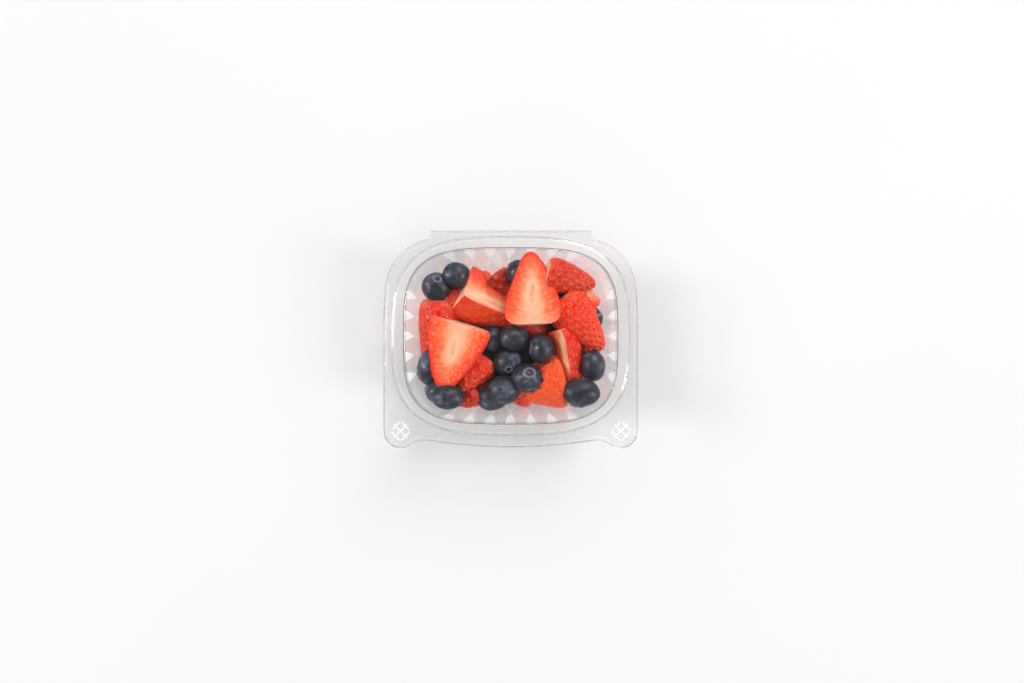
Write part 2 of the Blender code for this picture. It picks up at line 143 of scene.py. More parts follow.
# x, y, z, length along x, length along y, height, direction of the crown
BLUEBERRIES = [
    (-40.4, 26.6, 32.5, 16.7, 16.1, 15.0, (0.1, 0.55, 0.83)),
    (-29.7, 33.2, 35.5, 14.8, 14.0, 13.5, (0.9, 0.3, -0.3)),
    (4.6, 34.8, 30.0, 14.0, 14.0, 13.0, (-0.6, 0.5, -0.5)),
    (1.7, -1.4, 35.0, 16.7, 13.5, 14.0, (0.4, -0.5, -0.7)),
    (16.9, -7.1, 36.0, 13.0, 16.7, 13.5, (-0.95, 0.1, 0.1)),
    (-1.7, -14.0, 31.0, 15.5, 15.5, 14.0, (0.1, -0.55, 0.8)),
    (9.1, -23.1, 36.0, 17.9, 15.8, 15.0, (0.12, 0.42, 0.9)),
    (-3.8, -29.3, 33.5, 17.4, 16.0, 15.0, (0.5, 0.3, -0.8)),
    (-10.4, -35.3, 28.0, 17.4, 14.0, 14.0, (-0.8, -0.2, -0.5)),
    (-34.1, -33.2, 35.5, 17.9, 14.2, 14.0, (0.3, 0.1, -0.9)),
    (-42.3, -32.0, 32.5, 13.0, 13.0, 12.0, (-0.9, 0.2, 0.3)),
    (-45.2, -17.7, 30.5, 14.0, 19.8, 14.0, (-0.9, -0.3, 0.2)),
    (44.9, -16.4, 31.5, 13.5, 17.4, 14.0, (0.3, 0.8, -0.5)),
    (42.0, -33.6, 38.0, 20.8, 15.5, 13.5, (-0.2, -0.95, 0.1)),
    (45.9, 9.7, 27.0, 14.0, 14.0, 13.0, (0.5, 0.6, 0.6)),
    (-9.9, -1.4, 28.5, 14.5, 14.5, 14.0, (-0.3, 0.2, -0.9)),
    (-30.5, -37.3, 17.0, 14.0, 13.0, 13.0, (0.6, -0.7, 0.3)),
    (-42.3, -25.1, 22.5, 14.0, 14.0, 13.0, (-0.7, 0.1, 0.7)),
]
# stem end, tip, width, depth, direction that the cut face looks in or None, fineness, tone from crimson to
# orange, place of the pale core across the face, share of the length cut off at the stem end
STRAWBERRIES = [
    ((12.2, 6.4, 41.5), (10.7, 45.4, 38.5), 29.6, 26.0, (0, 0.08, 1), 6, 0.6, 0.0, 0.045),
    ((-26.9, 6.4, 41.0), (-37.0, -29.2, 37.0), 33.5, 28.0, (-0.05, -0.1, 1), 6, 0.75, 0.0, 0.14),
    ((-24.0, 31.2, 33.0), (20.0, 5.0, 22.0), 28.0, 53.0, (0.42, 0.68, 0.6), 6, 0.6, 0.55, 0.14),
    ((-41.5, 20.5, 28.5), (-46.0, -27.0, 24.5), 21.0, 20.0, None, 6, 0.3, 0.0),
    ((-10.0, 37.0, 21.5), (0.0, 25.0, 22.5), 17.0, 15.0, None, 5, 0.0, 0.0),
    ((20.5, 36.6, 35.5), (48.0, 30.4, 32.0), 19.5, 18.0, None, 6, 0.2, 0.0),
    ((27.5, 20.5, 29.5), (50.5, -7.5, 29.5), 25.0, 25.0, None, 6, 0.45, 0.0),
    ((24.0, 2.6, 35.5), (33.3, -29.0, 33.0), 14.0, 29.0, (-0.8, -0.1, 0.55), 6, 0.4, -0.7),
    ((32.0, -26.0, 28.0), (3.0, -33.5, 28.0), 29.0, 27.0, None, 6, 0.8, 0.0),
    ((-15.0, -11.5, 27.0), (-27.0, -30.0, 31.0), 20.0, 17.0, None, 6, 0.45, 0.0),
    ((-18.0, -31.0, 26.0), (-28.5, -38.5, 26.0), 13.0, 13.0, None, 5, 0.2, 0.0),
    ((8.0, 9.0, 28.0), (19.0, -4.0, 27.0), 16.0, 15.0, None, 5, 0.0, 0.0),
    ((45.0, 25.0, 30.5), (32.0, 14.0, 31.0), 16.0, 14.0, (0.2, 0.1, 1), 5, 0.8, 0.0),
    ((-34.5, 17.0, 28.0), (-26.0, 28.0, 30.0), 14.0, 14.0, None, 5, 0.2, 0.0),
    ((13.0, -40.5, 24.0), (-3.0, -39.0, 25.0), 13.0, 13.0, None, 5, 0.5, 0.0),
]
# Pieces that lie against the wall below: distance in from the mouth, height, number
LOWER_RINGS = [(22.0, 9.3, 15), (16.0, 19.5, 18)]
LOWER_SIZE = (13.0, 16.0)
HEAP_CLEARANCE = 0.5 * MM
HEAP_TOP = 43.9 * MM
MASS_HALF = (42.0, 33.0, 9.0)
MASS_Z = 11.5 * MM
MASS_POWER = 0.55  # from 1 for an ellipsoid to 0 for a box
MASS_GAP = 3 * MM

# Strawberries: seeds and dimples in millimetres, the edge of a cut face as a place on a unit sphere
SEED_SPACING = 4.1
SEED_AREA = 0.87  # of the square of the spacing
SEED_HALF = (0.42, 0.66, 0.3)
SEED_RISE = 0.05 * MM
DIMPLE_RADIUS = 0.85
BERRY_SURFACE = 0.8  # of the side of a cylinder round the berry
GOLDEN_ANGLE = 2.399963
CUT_AT = 0.02  # a halved berry is cut this far beyond its middle, on a unit sphere
STEM_CUT = 0.07  # share of the length
FACE_EDGE = 0.93

# Radius of a blueberry's crown, as a share of the way to the opposite side
CROWN_SIZES = (0.075, 0.0875, 0.1, 0.1125, 0.125)

# Plastics of the tray: name, least and most roughness, gloss of the outer coat, milkiness. Milkiness is a
# white
# diffuse share: faint real haze in the clear sheet, painted reflection on the wall's cells and borders,
# painted highlight on the triangles.
TRAY_PLASTICS = [
    ("clear tray plastic", 0.01, 0.05, 0.0, 0.045),
    ("glossy wall plastic", 0.01, 0.05, 0.8, 0.19),
    ("cell border plastic", 0.1, 0.2, 0.0, 0.25),
    ("milky wall plastic", 0.3, 0.5, 0.0, 0.92),
    ("clear step plastic", 0.01, 0.05, 0.0, 0.0),
]
GLOSSY_WALL, CELL_BORDER, PAINTED_HIGHLIGHT_WALL, CLEAR_STEP = range(1, 5)
PASSES = 8.0  # surfaces that a ray bends through before it goes straight on

# How pale the light from the strawberries is on the things round them
BOUNCE_SHARE = 0.65

# Lamps: name, place in metres, size and share of the power. The camera stands a little off the middle.
LAMPS = [
    ("back light", (1.5, 3.2, 3.0), 2.2, 1.0),
    ("left light", (-3.6, 0.4, 2.2), 1.0, 0.7),
    ("right light", (3.4, -0.8, 2.2), 0.9, 0.5),
]
LAMP_TARGET = Vector((0, 0, 0.03))
EYE = Vector((0.73, -3.03)) * MM


def srgb(*values):
    """Linear colour from 0 to 255 display values."""
    return tuple(v / 255 / 12.92 if v <= 10 else ((v / 255 + 0.055) / 1.055) ** 2.4 for v in values)


def colour_property(name, description, *values):
    """Colour setting with a display colour as its default."""
    return FloatVectorProperty(
        name=name, description=description, subtype="COLOR", size=3, min=0, max=1, default=srgb(*values)
    )


def length_property(name, description, default, least=0.0):
    """Length setting that shows parts of a millimetre."""
    return FloatProperty(
        name=name, description=description, default=default, min=least, unit="LENGTH", precision=5
    )


# ---------------------------------------------------------------- settings


class PlasticSettings(bpy.types.PropertyGroup):
    """Sheet of the container."""

    thickness: length_property("Thickness", "Thickness of the formed sheet", SHEET, 0.1 * MM)
    cell_border: length_property("Cell border", "Width of the slope round each cell of the wall", 0.9 * MM)
    cell_depth: length_property("Cell depth", "How far each cell stands out of the wall", 0.6 * MM)
    tint: colour_property("Tint", "Colour of light that passes through one sheet", 255, 255, 255)


class FruitSettings(bpy.types.PropertyGroup):
    """Colours and relief of the fruit."""

    skin: colour_property("Skin", "Strawberry skin", 234, 15, 1)
    skin_deep: colour_property("Deep skin", "Riper strawberry skin", 165, 8, 5)
    flesh: colour_property("Flesh", "Outer flesh of a cut strawberry", 255, 84, 38)
    flesh_pale: colour_property("Pale flesh", "Inner flesh of a cut strawberry", 255, 196, 162)
    seed: colour_property("Seed", "Strawberry seeds", 208, 168, 74)
    blueberry: colour_property("Blueberry", "Blueberry skin", 23, 25, 34)
    bloom: colour_property("Bloom", "Waxy bloom on a blueberry", 99, 107, 126)
    dimple: length_property("Dimple depth", "How deep the strawberry seeds sit", 1.0 * MM)


class StageSettings(bpy.types.PropertyGroup):
    """Table, light and camera."""

    table: colour_property("Table", "Colour of the table", 240, 240, 240)
    light: FloatProperty(
        name="Light", description="Power of the soft studio lights", default=85.0, min=0, unit="POWER"
    )
    sky: FloatProperty(name="Sky", description="Brightness of the even light", default=0.78, min=0)
    camera_height: length_property("Camera height", "Height of the camera above the flange", 0.77, 0.1)


# ---------------------------------------------------------------- plan of the container


def grown(oval, by):
    """A superellipse with both half sizes changed by the same length."""
    return (oval[0] + by, oval[1] + by, oval[2])


def on_oval(oval, phi):
    """Point of a superellipse at its parameter phi."""
    half_x, half_y, power = oval
    c, s = math.cos(phi), math.sin(phi)
    x = math.copysign(abs(c) ** (2 / power), c) * half_x
    y = math.copysign(abs(s) ** (2 / power), s) * half_y
    return Vector((x, y))


def phi_at(side, along):
    """Parameter of the mouth's point at this distance from the middle of a side, travelled anticlockwise."""
    half = MOUTH[1 - side % 2]
    return side * math.pi / 2 + math.asin(math.copysign(abs(along / half) ** (MOUTH[2] / 2), along))


def between(low, high, count):
    """Values evenly spaced inside an interval, without its ends."""
    return [low + (high - low) * (i + 1) / (count + 1) for i in range(count)]


def side_places(side):
    """Columns of a side: their place at the mouth, at the triangles' tips and below, and their kind."""
    count = TRIANGLES[side]
    tips = [(i - count / 2) * PITCH for i in range(count + 1)]
    places = [(tips[0], tips[0], tips[0], "end")]
    for low, high in zip(tips, tips[1:]):
        middle = (low + high) / 2
        places.append((middle - TRIANGLE_BASE / 2, middle, low, "left"))
        places.append((middle + TRIANGLE_BASE / 2, middle, high, "right"))
        places.append((high, high, high, "tip"))
    places[-1] = (*places[-1][:3], "end")
    return places


def chamfered(oval, z, side):
    """Rings of a chamfered edge, outside to inside. Side is -1 for an outer edge and 1 for an inner one."""
    width, drop = CHAMFER
    if side < 0:
        return [(grown(oval, LAND_BULGE), z - drop), (grown(oval, LAND_BULGE - width), z)]
    return [(grown(oval, width), z), (oval, z - drop)]


def oval_rings(ovals, phis):
    """Rings of points along superellipses, each with its height."""
    return [([on_oval(oval, phi) for phi in phis], z) for oval, z in ovals]


def inset_rings(places, phis):
    """Rings of points down the wall, from their distances in from the mouth and their heights."""
    return oval_rings([(grown(MOUTH, -inset), z) for inset, z in places], phis)


def columns():
    """Every column anticlockwise from the right side: its three parameters and its kind."""
    found = []
    for side in range(4):
        places = side_places(side)
        found += [(*[phi_at(side, p) for p in place[:3]], place[3]) for place in places]
        after = phi_at(side + 1, side_places((side + 1) % 4)[0][0])
        for phi in between(found[-1][2], after, CORNER_COLUMNS[side]):
            found.append((phi, phi, phi, "corner"))
    return found


def arc(centre, radius, start, end, steps=40):
    """Points along a circular arc from one angle to another."""
    angles = [start + (end - start) * i / steps for i in range(steps + 1)]
    return [centre + radius * Vector((math.cos(a), math.sin(a))) for a in angles]


def evenly_along(points, count):
    """This many points inside a dense line, evenly spaced along it, without its ends."""
    lengths = [0.0]
    for a, b in zip(points, points[1:]):
        lengths.append(lengths[-1] + (b - a).length)
    found, i = [], 0
    for wanted in between(0.0, lengths[-1], count):
        while lengths[i + 1] < wanted:
            i += 1
        share = (wanted - lengths[i]) / (lengths[i + 1] - lengths[i])
        found.append(points[i].lerp(points[i + 1], share))
    return found


def front_corner(side_inset, front_inset, start_y, end_x):
    """Right front corner of a flange: down its side, round the tab and a fillet, along the front to end_x."""
    side_x, tab_radius = FLANGE[0] - side_inset, TAB_RADIUS - side_inset
    front_radius, fillet = FRONT_RADIUS - front_inset, TAB_FILLET + side_inset
    middle = Vector((0, FRONT_RADIUS + FRONT_Y))
    # The fillet touches both circles from outside, so its middle is where two larger circles cross.
    to_tab, to_front = tab_radius + fillet, front_radius + fillet
    line = TAB - middle
    along = (line.length_squared + to_front**2 - to_tab**2) / (2 * line.length)
    across = math.sqrt(to_front**2 - along**2)
    unit = line.normalized()
    centre = middle + along * unit + across * Vector((unit.y, -unit.x))
    into_tab, into_front = TAB - centre, middle - centre
    touch = centre + into_front.normalized() * fillet - middle
    tab_end = math.atan2(-into_tab.y, -into_tab.x)
    front_end = -math.pi / 2 + math.asin(end_x / front_radius)
    fillet_ends = math.atan2(into_tab.y, into_tab.x), math.atan2(into_front.y, into_front.x)
    return [
        Vector((side_x, start_y)),
        *arc(TAB, tab_radius, 0.0, tab_end),
        *arc(centre, fillet, *fillet_ends)[1:],
        *arc(middle, front_radius, math.atan2(touch.y, touch.x), front_end)[1:],
    ]


def mirrored(points):
    """The same points on the left side, in the opposite order."""
    return [Vector((-p.x, p.y)) for p in reversed(points)]


def flange_outline(side_inset, front_inset, leaf_inset=0.0):
    """Edge of a flange with its tabs and hinge leaf: one point for each column."""
    leaf_x, leaf_y = LEAF_HALF - leaf_inset, LEAF_Y - leaf_inset
    oval = grown(FLANGE, -side_inset)
    half_x, half_y, power = oval
    right = []
    for y, *_ in side_places(0):
        right.append(Vector((half_x * (1 - (max(y, 0) / half_y) ** power) ** (1 / power), y)))
    start = math.asin((right[-1].y / half_y) ** (power / 2))
    end = math.acos((leaf_x / half_x) ** (power / 2))
    back_right = [on_oval(oval, phi) for phi in between(start, end, CORNER_COLUMNS[0])]
    leaf_side = [on_oval(oval, end), Vector((leaf_x, leaf_y))]
    inner = len(side_places(1)) - 4
    edge = [Vector((x, leaf_y)) for x in between(leaf_x, -leaf_x, inner)]
    radius = FRONT_RADIUS - front_inset
    xs = [place[0] for place in side_places(3)]
    front = [Vector((x, FRONT_RADIUS + FRONT_Y - math.sqrt(radius**2 - x**2))) for x in xs]
    corner = evenly_along(front_corner(side_inset, front_inset, right[0].y, xs[-1]), CORNER_COLUMNS[3])
    back = [*leaf_side, *edge, *mirrored(leaf_side)]
    return [
        *right, *back_right, *back, *mirrored(back_right), *mirrored(right),
        *mirrored(corner[::-1]), *front, *reversed(corner),
    ]


def edge_heights(points, z, drop):
    """Heights along the edge of a flange, which turns down except at the hinge leaf."""
    leaf = max(point.y for point in points) - 0.01 * MM
    return [z if point.y > leaf else z - drop for point in points]


# ---------------------------------------------------------------- modelling helpers


def deselect():
    """Leaves edit mode with nothing selected."""
    if bpy.context.object and bpy.context.object.mode != "OBJECT":
        bpy.ops.object.mode_set(mode="OBJECT")
    bpy.ops.object.select_all(action="DESELECT")


def choose(*things):
    """Selects only these objects. The first is active."""
    deselect()
    for thing in things:
        thing.select_set(True)
    bpy.context.view_layer.objects.active = things[0]


def edit_all(kind):
    """Selects every vertex, edge or face in edit mode."""
    bpy.ops.object.mode_set(mode="EDIT")
    bpy.ops.mesh.select_mode(type=kind)
    bpy.ops.mesh.select_all(action="SELECT")


def extruded_rings(name, rings):
    """Sheet from a circle extruded from ring to ring, left in edit mode, and the vertices of each ring."""
    deselect()
    bpy.ops.mesh.primitive_circle_add(vertices=len(rings[0][0]), radius=0.06)
    sheet = bpy.context.object
    sheet.name = name
    edit_all("VERT")
    found = [list(range(len(rings[0][0])))]
    for step, (points, z) in enumerate(rings):
        if step:
            bpy.ops.mesh.extrude_region_move()
        mesh = bmesh.from_edit_mesh(sheet.data)
        mesh.verts.ensure_lookup_table()
        moved = []
        heights = z if isinstance(z, list) else [z] * len(points)
        for index, point, height in zip(found[-1], points, heights):
            vertex = mesh.verts[index]
            if step:
                around = [edge.other_vert(vertex) for edge in vertex.link_edges]
                vertex = next(v for v in around if v.select and (v.co - vertex.co).length < 1e-7)
            moved.append((vertex, (point.x, point.y + MIDDLE_Y, height)))
        for vertex, place in moved:
            vertex.co = place
        mesh.verts.index_update()
        if step:
            found.append([vertex.index for vertex, _ in moved])
        bmesh.update_edit_mesh(sheet.data)
    bpy.ops.mesh.edge_face_add()
    return sheet, found


def select_only(sheet, kind, test):
    """Selects the vertices, edges or faces of the mesh in edit mode that pass a test."""
    bpy.ops.mesh.select_mode(type={"verts": "VERT", "edges": "EDGE", "faces": "FACE"}[kind])
    bpy.ops.mesh.select_all(action="DESELECT")
    mesh = bmesh.from_edit_mesh(sheet.data)
    for part in getattr(mesh, kind):
        if test(part):
            part.select_set(True)
    mesh.select_flush_mode()
    bmesh.update_edit_mesh(sheet.data)


def middle_z(face):
    """Height of the middle of a face."""
    return face.calc_center_median().z


def give_material(sheet, index, test):
    """Gives the faces that pass a test the material in this slot of the sheet in edit mode."""
    select_only(sheet, "faces", test)
    sheet.active_material_index = index
    bpy.ops.object.material_slot_assign()


def round_ring(sheet, width, oval, z):
    """Rounds the bend of a sheet that follows an oval at one height."""
    half_x, half_y, power = oval

    def on_ring(vertex):
        x, y = abs(vertex.co.x) / half_x, abs(vertex.co.y - MIDDLE_Y) / half_y
        return abs(vertex.co.z - z) < 0.001 * MM and abs(x**power + y**power - 1) < 0.001

    select_only(sheet, "edges", lambda e: all(on_ring(v) for v in e.verts))
    bpy.ops.mesh.bevel(offset=width, segments=3, clamp_overlap=False)


def modify(thing, kind, **settings):
    """Applies one modifier to the active object."""
    modifier = thing.modifiers.new(kind.title(), kind)
    for name, value in settings.items():
        setattr(modifier, name, value)
    bpy.ops.object.modifier_apply(modifier=modifier.name)


def round_sharp(thing, width, degrees):
    """Rounds the edges of the active object that bend by more than an angle."""
    modify(thing, "BEVEL", width=width, segments=2, limit_method="ANGLE", angle_limit=math.radians(degrees))


def face_up(sheet):
    """Turns the normals of a sheet to its upper and inner side."""
    edit_all("FACE")
    bpy.ops.mesh.normals_make_consistent(inside=False)
    mesh = bmesh.from_edit_mesh(sheet.data)
    mesh.faces.ensure_lookup_table()
    largest = max(mesh.faces, key=lambda face: face.calc_area())
    if largest.normal.z < 0:
        bpy.ops.mesh.flip_normals()


def finish_sheet(sheet, thickness):
    """Rounds the bends of a formed sheet and gives it its thickness."""
    bpy.ops.object.mode_set(mode="OBJECT")
    round_sharp(sheet, *BENDS)
    modify(sheet, "SOLIDIFY", thickness=thickness, offset=1.0, use_even_offset=True)
    round_sharp(sheet, *CUT_EDGE)
    bpy.ops.object.shade_smooth_by_angle(angle=math.radians(40))
    modify(sheet, "WEIGHTED_NORMAL", keep_sharp=True, weight=100)


def dress(thing, body, slot, *materials):
    """Gives a finished piece its materials and lets it move with a body."""
    for material in materials:
        thing.data.materials.append(material)
    thing.data.name = thing.name
    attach(thing, body)


# ---------------------------------------------------------------- materials


class Nodes:
    """Builds the nodes of a material or a group."""

    def __init__(self, tree):
        self.tree = tree

    def add(self, kind, inputs=None, **settings):
        node = self.tree.nodes.new(kind)
        for name, value in settings.items():
            setattr(node, name, value)
        for name, value in (inputs or {}).items():
            if isinstance(value, bpy.types.NodeSocket):
                self.tree.links.new(value, node.inputs[name])
            else:
                node.inputs[name].default_value = value
        return node

    def math(self, operation, *values):
        return self.add("ShaderNodeMath", dict(enumerate(values)), operation=operation).outputs[0]

    def times(self, a, b):
        return self.math("MULTIPLY", a, b)

    def mix(self, factor, below, above):
        """Lays a colour over another one. The upper colour is three numbers."""
        inputs = {0: factor, 6: below, 7: (*above, 1)}
        return self.add("ShaderNodeMix", inputs, data_type="RGBA", clamp_factor=True).outputs[2]

    def ramp(self, value, *stops):
        """Colour ramp from (position, colour) or (position, grey) stops."""
        node = self.add("ShaderNodeValToRGB", {0: value})
        elements = node.color_ramp.elements
        while len(elements) < len(stops):
            elements.new(0.5)
        for element, (position, colour) in zip(elements, stops):
            element.position = position
            element.color = (colour,) * 3 + (1,) if isinstance(colour, (int, float)) else (*colour, 1)
        return node.outputs[0]

    def noise(self, vector, scale, detail=2.0, roughness=0.5):
        inputs = {"Vector": vector, "Scale": scale, "Detail": detail, "Roughness": roughness}
        return self.add("ShaderNodeTexNoise", inputs).outputs[0]

    def spread(self, value, start, end, low, high):
        """Runs from low to high while the value runs from start to end."""
        inputs = {"Value": value, "From Min": start, "From Max": end, "To Min": low, "To Max": high}
        return self.add("ShaderNodeMapRange", inputs).outputs[0]

    def bump(self, strength, distance, height):
        inputs = {"Strength": strength, "Distance": distance, "Height": height}
        return self.add("ShaderNodeBump", inputs).outputs[0]

    def attribute(self, name, output="Fac"):
        return self.add("ShaderNodeAttribute", attribute_name=name).outputs[output]

    def place(self):
        """Place on the object, in metres."""
        return self.add("ShaderNodeTexCoord").outputs["Object"]

    def mix_shaders(self, share, below, above):
        return self.add("ShaderNodeMixShader", {0: share, 1: below, 2: above}).outputs[0]

    def finish(self, shader):
        self.add("ShaderNodeOutputMaterial", {"Surface": shader})

    def opaque(self, inputs):
        """Finishes the material with a single opaque surface."""
        self.finish(self.add("ShaderNodeBsdfPrincipled", inputs).outputs[0])


def new_material(name):
    """Empty material with the builder of its nodes."""
    material = bpy.data.materials.new(name)
    material.use_nodes = True
    material.node_tree.nodes.clear()
    return material, Nodes(material.node_tree)


def speckle_group():
    """Fine uneven film, such as moisture or fingermarks: a value that changes over the surface."""
    found = bpy.data.node_groups.get("uneven film")
    if found:
        return found
    group = bpy.data.node_groups.new("uneven film", "ShaderNodeTree")
    for name, side in (("Scale", "INPUT"), ("Low", "INPUT"), ("High", "INPUT"), ("Roughness", "OUTPUT")):
        group.interface.new_socket(name, in_out=side, socket_type="NodeSocketFloat")
    nodes = Nodes(group)
    scale, low, high = nodes.add("NodeGroupInput").outputs[:3]
    spots = nodes.noise(nodes.place(), scale, 4.0, 0.6)
    nodes.add("NodeGroupOutput", {"Roughness": nodes.spread(spots, 0.35, 0.65, low, high)})
    return group


def film(nodes, scale, low, high):
    """Roughness from the shared film group."""
    inputs = {"Scale": scale, "Low": low, "High": high}
    return nodes.add("ShaderNodeGroup", inputs, node_tree=speckle_group()).outputs["Roughness"]


def clear_plastic(name, tint, low=0.01, high=0.05, gloss=0.0, milk=0.045):
    """Clear formed plastic with a white diffuse share: a faint haze, and on the wall's facets painted
    highlight and reflection. Shadows and bounced light pass straight through it.
    """
    material, nodes = new_material(name)
    glassy = nodes.add("ShaderNodeBsdfPrincipled", {
        "Base Color": (*tint, 1), "Roughness": film(nodes, 60, low, high), "IOR": 1.46,
        "Transmission Weight": 1.0, "Coat Weight": gloss, "Coat IOR": 1.9, "Coat Roughness": 0.25,
        "Normal": nodes.bump(0.12, 0.2 * MM, nodes.noise(nodes.place(), 90.0, 1.0)),
    }).outputs[0]
    # White diffuse share: faint haze on the clear sheet; on the wall's facets it is painted highlight and
    # reflection.
    white = (0.97, 0.97, 0.97, 1)
    front = nodes.add("ShaderNodeBsdfDiffuse", {"Color": white}).outputs[0]
    behind = nodes.add("ShaderNodeBsdfTranslucent", {"Color": white}).outputs[0]
    body = nodes.mix_shaders(milk, glassy, nodes.mix_shaders(0.5, front, behind))
    clear = nodes.add("ShaderNodeBsdfTransparent", {"Color": (*tint, 1)}).outputs[0]
    path = nodes.add("ShaderNodeLightPath")
    deep = nodes.math("GREATER_THAN", path.outputs["Transmission Depth"], PASSES)
    through = nodes.math("MAXIMUM", path.outputs["Is Shadow Ray"], path.outputs["Is Diffuse Ray"])
    through = nodes.math("MAXIMUM", through, deep)
    nodes.finish(nodes.mix_shaders(through, body, clear))
    return material


def paler_bounce(nodes, colour):
    """The colour itself, but much paler in the light that the fruit throws on the things round it."""
    bounced = nodes.add("ShaderNodeLightPath").outputs["Is Diffuse Ray"]
    return nodes.mix(nodes.times(bounced, BOUNCE_SHARE), colour, srgb(222, 200, 196))


def strawberry_skin(fruit):
    """Red skin, paler at the stem end, darkened in each seed's pit by painted shade and paled on the raised
    ring round it by painted highlight.
    """
    material, nodes = new_material("strawberry skin")
    place = nodes.attribute("berry_place", "Vector")
    spots = nodes.noise(place, 2.2, 3.0)
    tone = nodes.math("ADD", nodes.attribute("tone"), nodes.times(spots, 0.5))
    red = nodes.ramp(nodes.math("SUBTRACT", tone, 0.15), (0.0, fruit.skin_deep), (0.5, fruit.skin),
                     (1.0, srgb(255, 84, 20)))
    near = nodes.attribute("seed_distance")
    # Painted shade: the skin darkens to deep red in each seed's pit.
    pit_shade = nodes.ramp(near, (0.1, 1.0), (0.3, 0.0))
    # Painted highlight: the skin turns pale orange on the raised ring round each pit.
    rim = nodes.ramp(near, (0.2, 0.0), (0.4, 1.0), (0.5, 0.7), (0.8, 0.0))
    ring_highlighted = nodes.mix(nodes.times(rim, 0.42), red, srgb(255, 112, 62))
    pit_shaded = nodes.mix(nodes.times(pit_shade, 0.6), ring_highlighted, srgb(120, 10, 4))
    axes = nodes.add("ShaderNodeSeparateXYZ", {0: nodes.attribute("grain", "Vector")})
    along = nodes.math("ADD", axes.outputs[0], nodes.times(spots, 0.4))
    pale = nodes.times(nodes.spread(along, -0.8, -0.58, 1.0, 0.0), 0.4)
    colour = nodes.mix(pale, pit_shaded, srgb(255, 150, 96))
    nodes.opaque({
        "Base Color": paler_bounce(nodes, colour), "Roughness": film(nodes, 300, 0.2, 0.36),
        "Specular IOR Level": 0.24, "Subsurface Weight": 0.1,
        "Subsurface Radius": (4 * MM, 1.2 * MM, 0.6 * MM), "Subsurface Scale": 0.4, "Coat Weight": 0.1,
        "Coat Roughness": 0.12, "Normal": nodes.bump(0.25, 0.4 * MM, nodes.noise(place, 26.0, 3.0)),
    })
    return material


def strawberry_flesh(fruit):
    """Cut strawberry: a pale core, fine streaks that run out to the seeds and a red rim."""
    material, nodes = new_material("strawberry flesh")
    grain = nodes.attribute("grain", "Vector")
    streaks = nodes.noise(grain, 16.0, 3.0, 0.55)
    broad = nodes.noise(grain, 5.0, 2.0)
    heart = nodes.attribute("heart")
    tone = nodes.times(nodes.attribute("tone"), 0.22)
    swing = nodes.times(nodes.math("SUBTRACT", broad, 0.62), 0.4)
    wavy = nodes.math("ADD", heart, nodes.math("ADD", swing, tone))
    base = nodes.ramp(wavy, (0.0, srgb(255, 142, 90)), (0.14, srgb(255, 166, 116)), (0.24, fruit.flesh_pale),
                      (0.38, srgb(255, 176, 134)), (0.56, srgb(255, 122, 72)), (0.8, fruit.flesh),
                      (1.0, srgb(250, 58, 22)))
    band = nodes.ramp(heart, (0.15, 0.0), (0.4, 1.0), (0.85, 0.8), (0.97, 0.0))
    fine = nodes.ramp(streaks, (0.52, 0.0), (0.66, 1.0))
    pale = nodes.mix(nodes.times(nodes.times(fine, band), 0.3), base, srgb(255, 214, 180))
    dark = nodes.ramp(streaks, (0.36, 1.0), (0.5, 0.0))
    streaked = nodes.mix(nodes.times(nodes.times(dark, band), 0.22), pale, srgb(246, 78, 36))
    edge = nodes.ramp(nodes.attribute("rim"), (0.86, 0.0), (0.97, 1.0))
    red = nodes.mix(edge, streaked, srgb(240, 36, 12))
    along = nodes.add("ShaderNodeSeparateXYZ", {0: grain}).outputs[0]
    core = nodes.ramp(heart, (0.2, 1.0), (0.75, 0.0))
    stem = nodes.times(nodes.spread(along, -1.15, -0.75, 0.8, 0.0), core)
    colour = nodes.mix(stem, red, srgb(252, 224, 198))
    nodes.opaque({
        "Base Color": paler_bounce(nodes, colour), "Roughness": film(nodes, 350, 0.3, 0.5),
        "Specular IOR Level": 0.4, "Subsurface Weight": 0.12,
        "Subsurface Radius": (4 * MM, 1.8 * MM, 1 * MM), "Subsurface Scale": 0.4, "Coat Weight": 0.1,
        "Coat Roughness": 0.2, "Normal": nodes.bump(0.35, 0.3 * MM, streaks),
    })
    return material


def seed_material(fruit):
    """Golden olive seeds."""
    material, nodes = new_material("strawberry seed")
    tint = nodes.ramp(nodes.noise(nodes.place(), 260.0), (0.35, srgb(158, 116, 44)), (0.5, fruit.seed),
                      (0.65, srgb(232, 200, 116)))
    nodes.opaque({"Base Color": tint, "Roughness": film(nodes, 500, 0.25, 0.45), "Coat Weight": 0.3})
    return material


def blueberry_skin(fruit):
    """Dark blue skin under a patchy waxy bloom, brown-red inside the crown."""
    material, nodes = new_material("blueberry skin")
    place = nodes.place()
    patches = nodes.noise(place, 95.0, 4.0, 0.55)
    smears = nodes.noise(place, 330.0, 3.0, 0.6)
    waxy = nodes.math("ADD", nodes.times(patches, 0.6), nodes.times(smears, 0.45))
    colour = nodes.ramp(waxy, (0.43, fruit.blueberry), (0.56, srgb(42, 46, 58)), (0.71, fruit.bloom))
    crown = nodes.attribute("crown")
    inner = nodes.ramp(crown, (0.0, 1.0), (0.25, 1.0), (0.4, 0.0))
    lobes = nodes.ramp(crown, (0.3, 0.0), (0.45, 1.0), (0.6, 1.0), (0.7, 0.0))
    rimmed = nodes.mix(nodes.times(lobes, 0.6), colour, srgb(128, 134, 150))
    nodes.opaque({
        "Base Color": nodes.mix(nodes.times(inner, 0.9), rimmed, srgb(42, 22, 28)),
        "Roughness": film(nodes, 200, 0.3, 0.48), "Specular IOR Level": 0.4,
        "Normal": nodes.bump(0.2, 0.3 * MM, smears),
    })
    return material


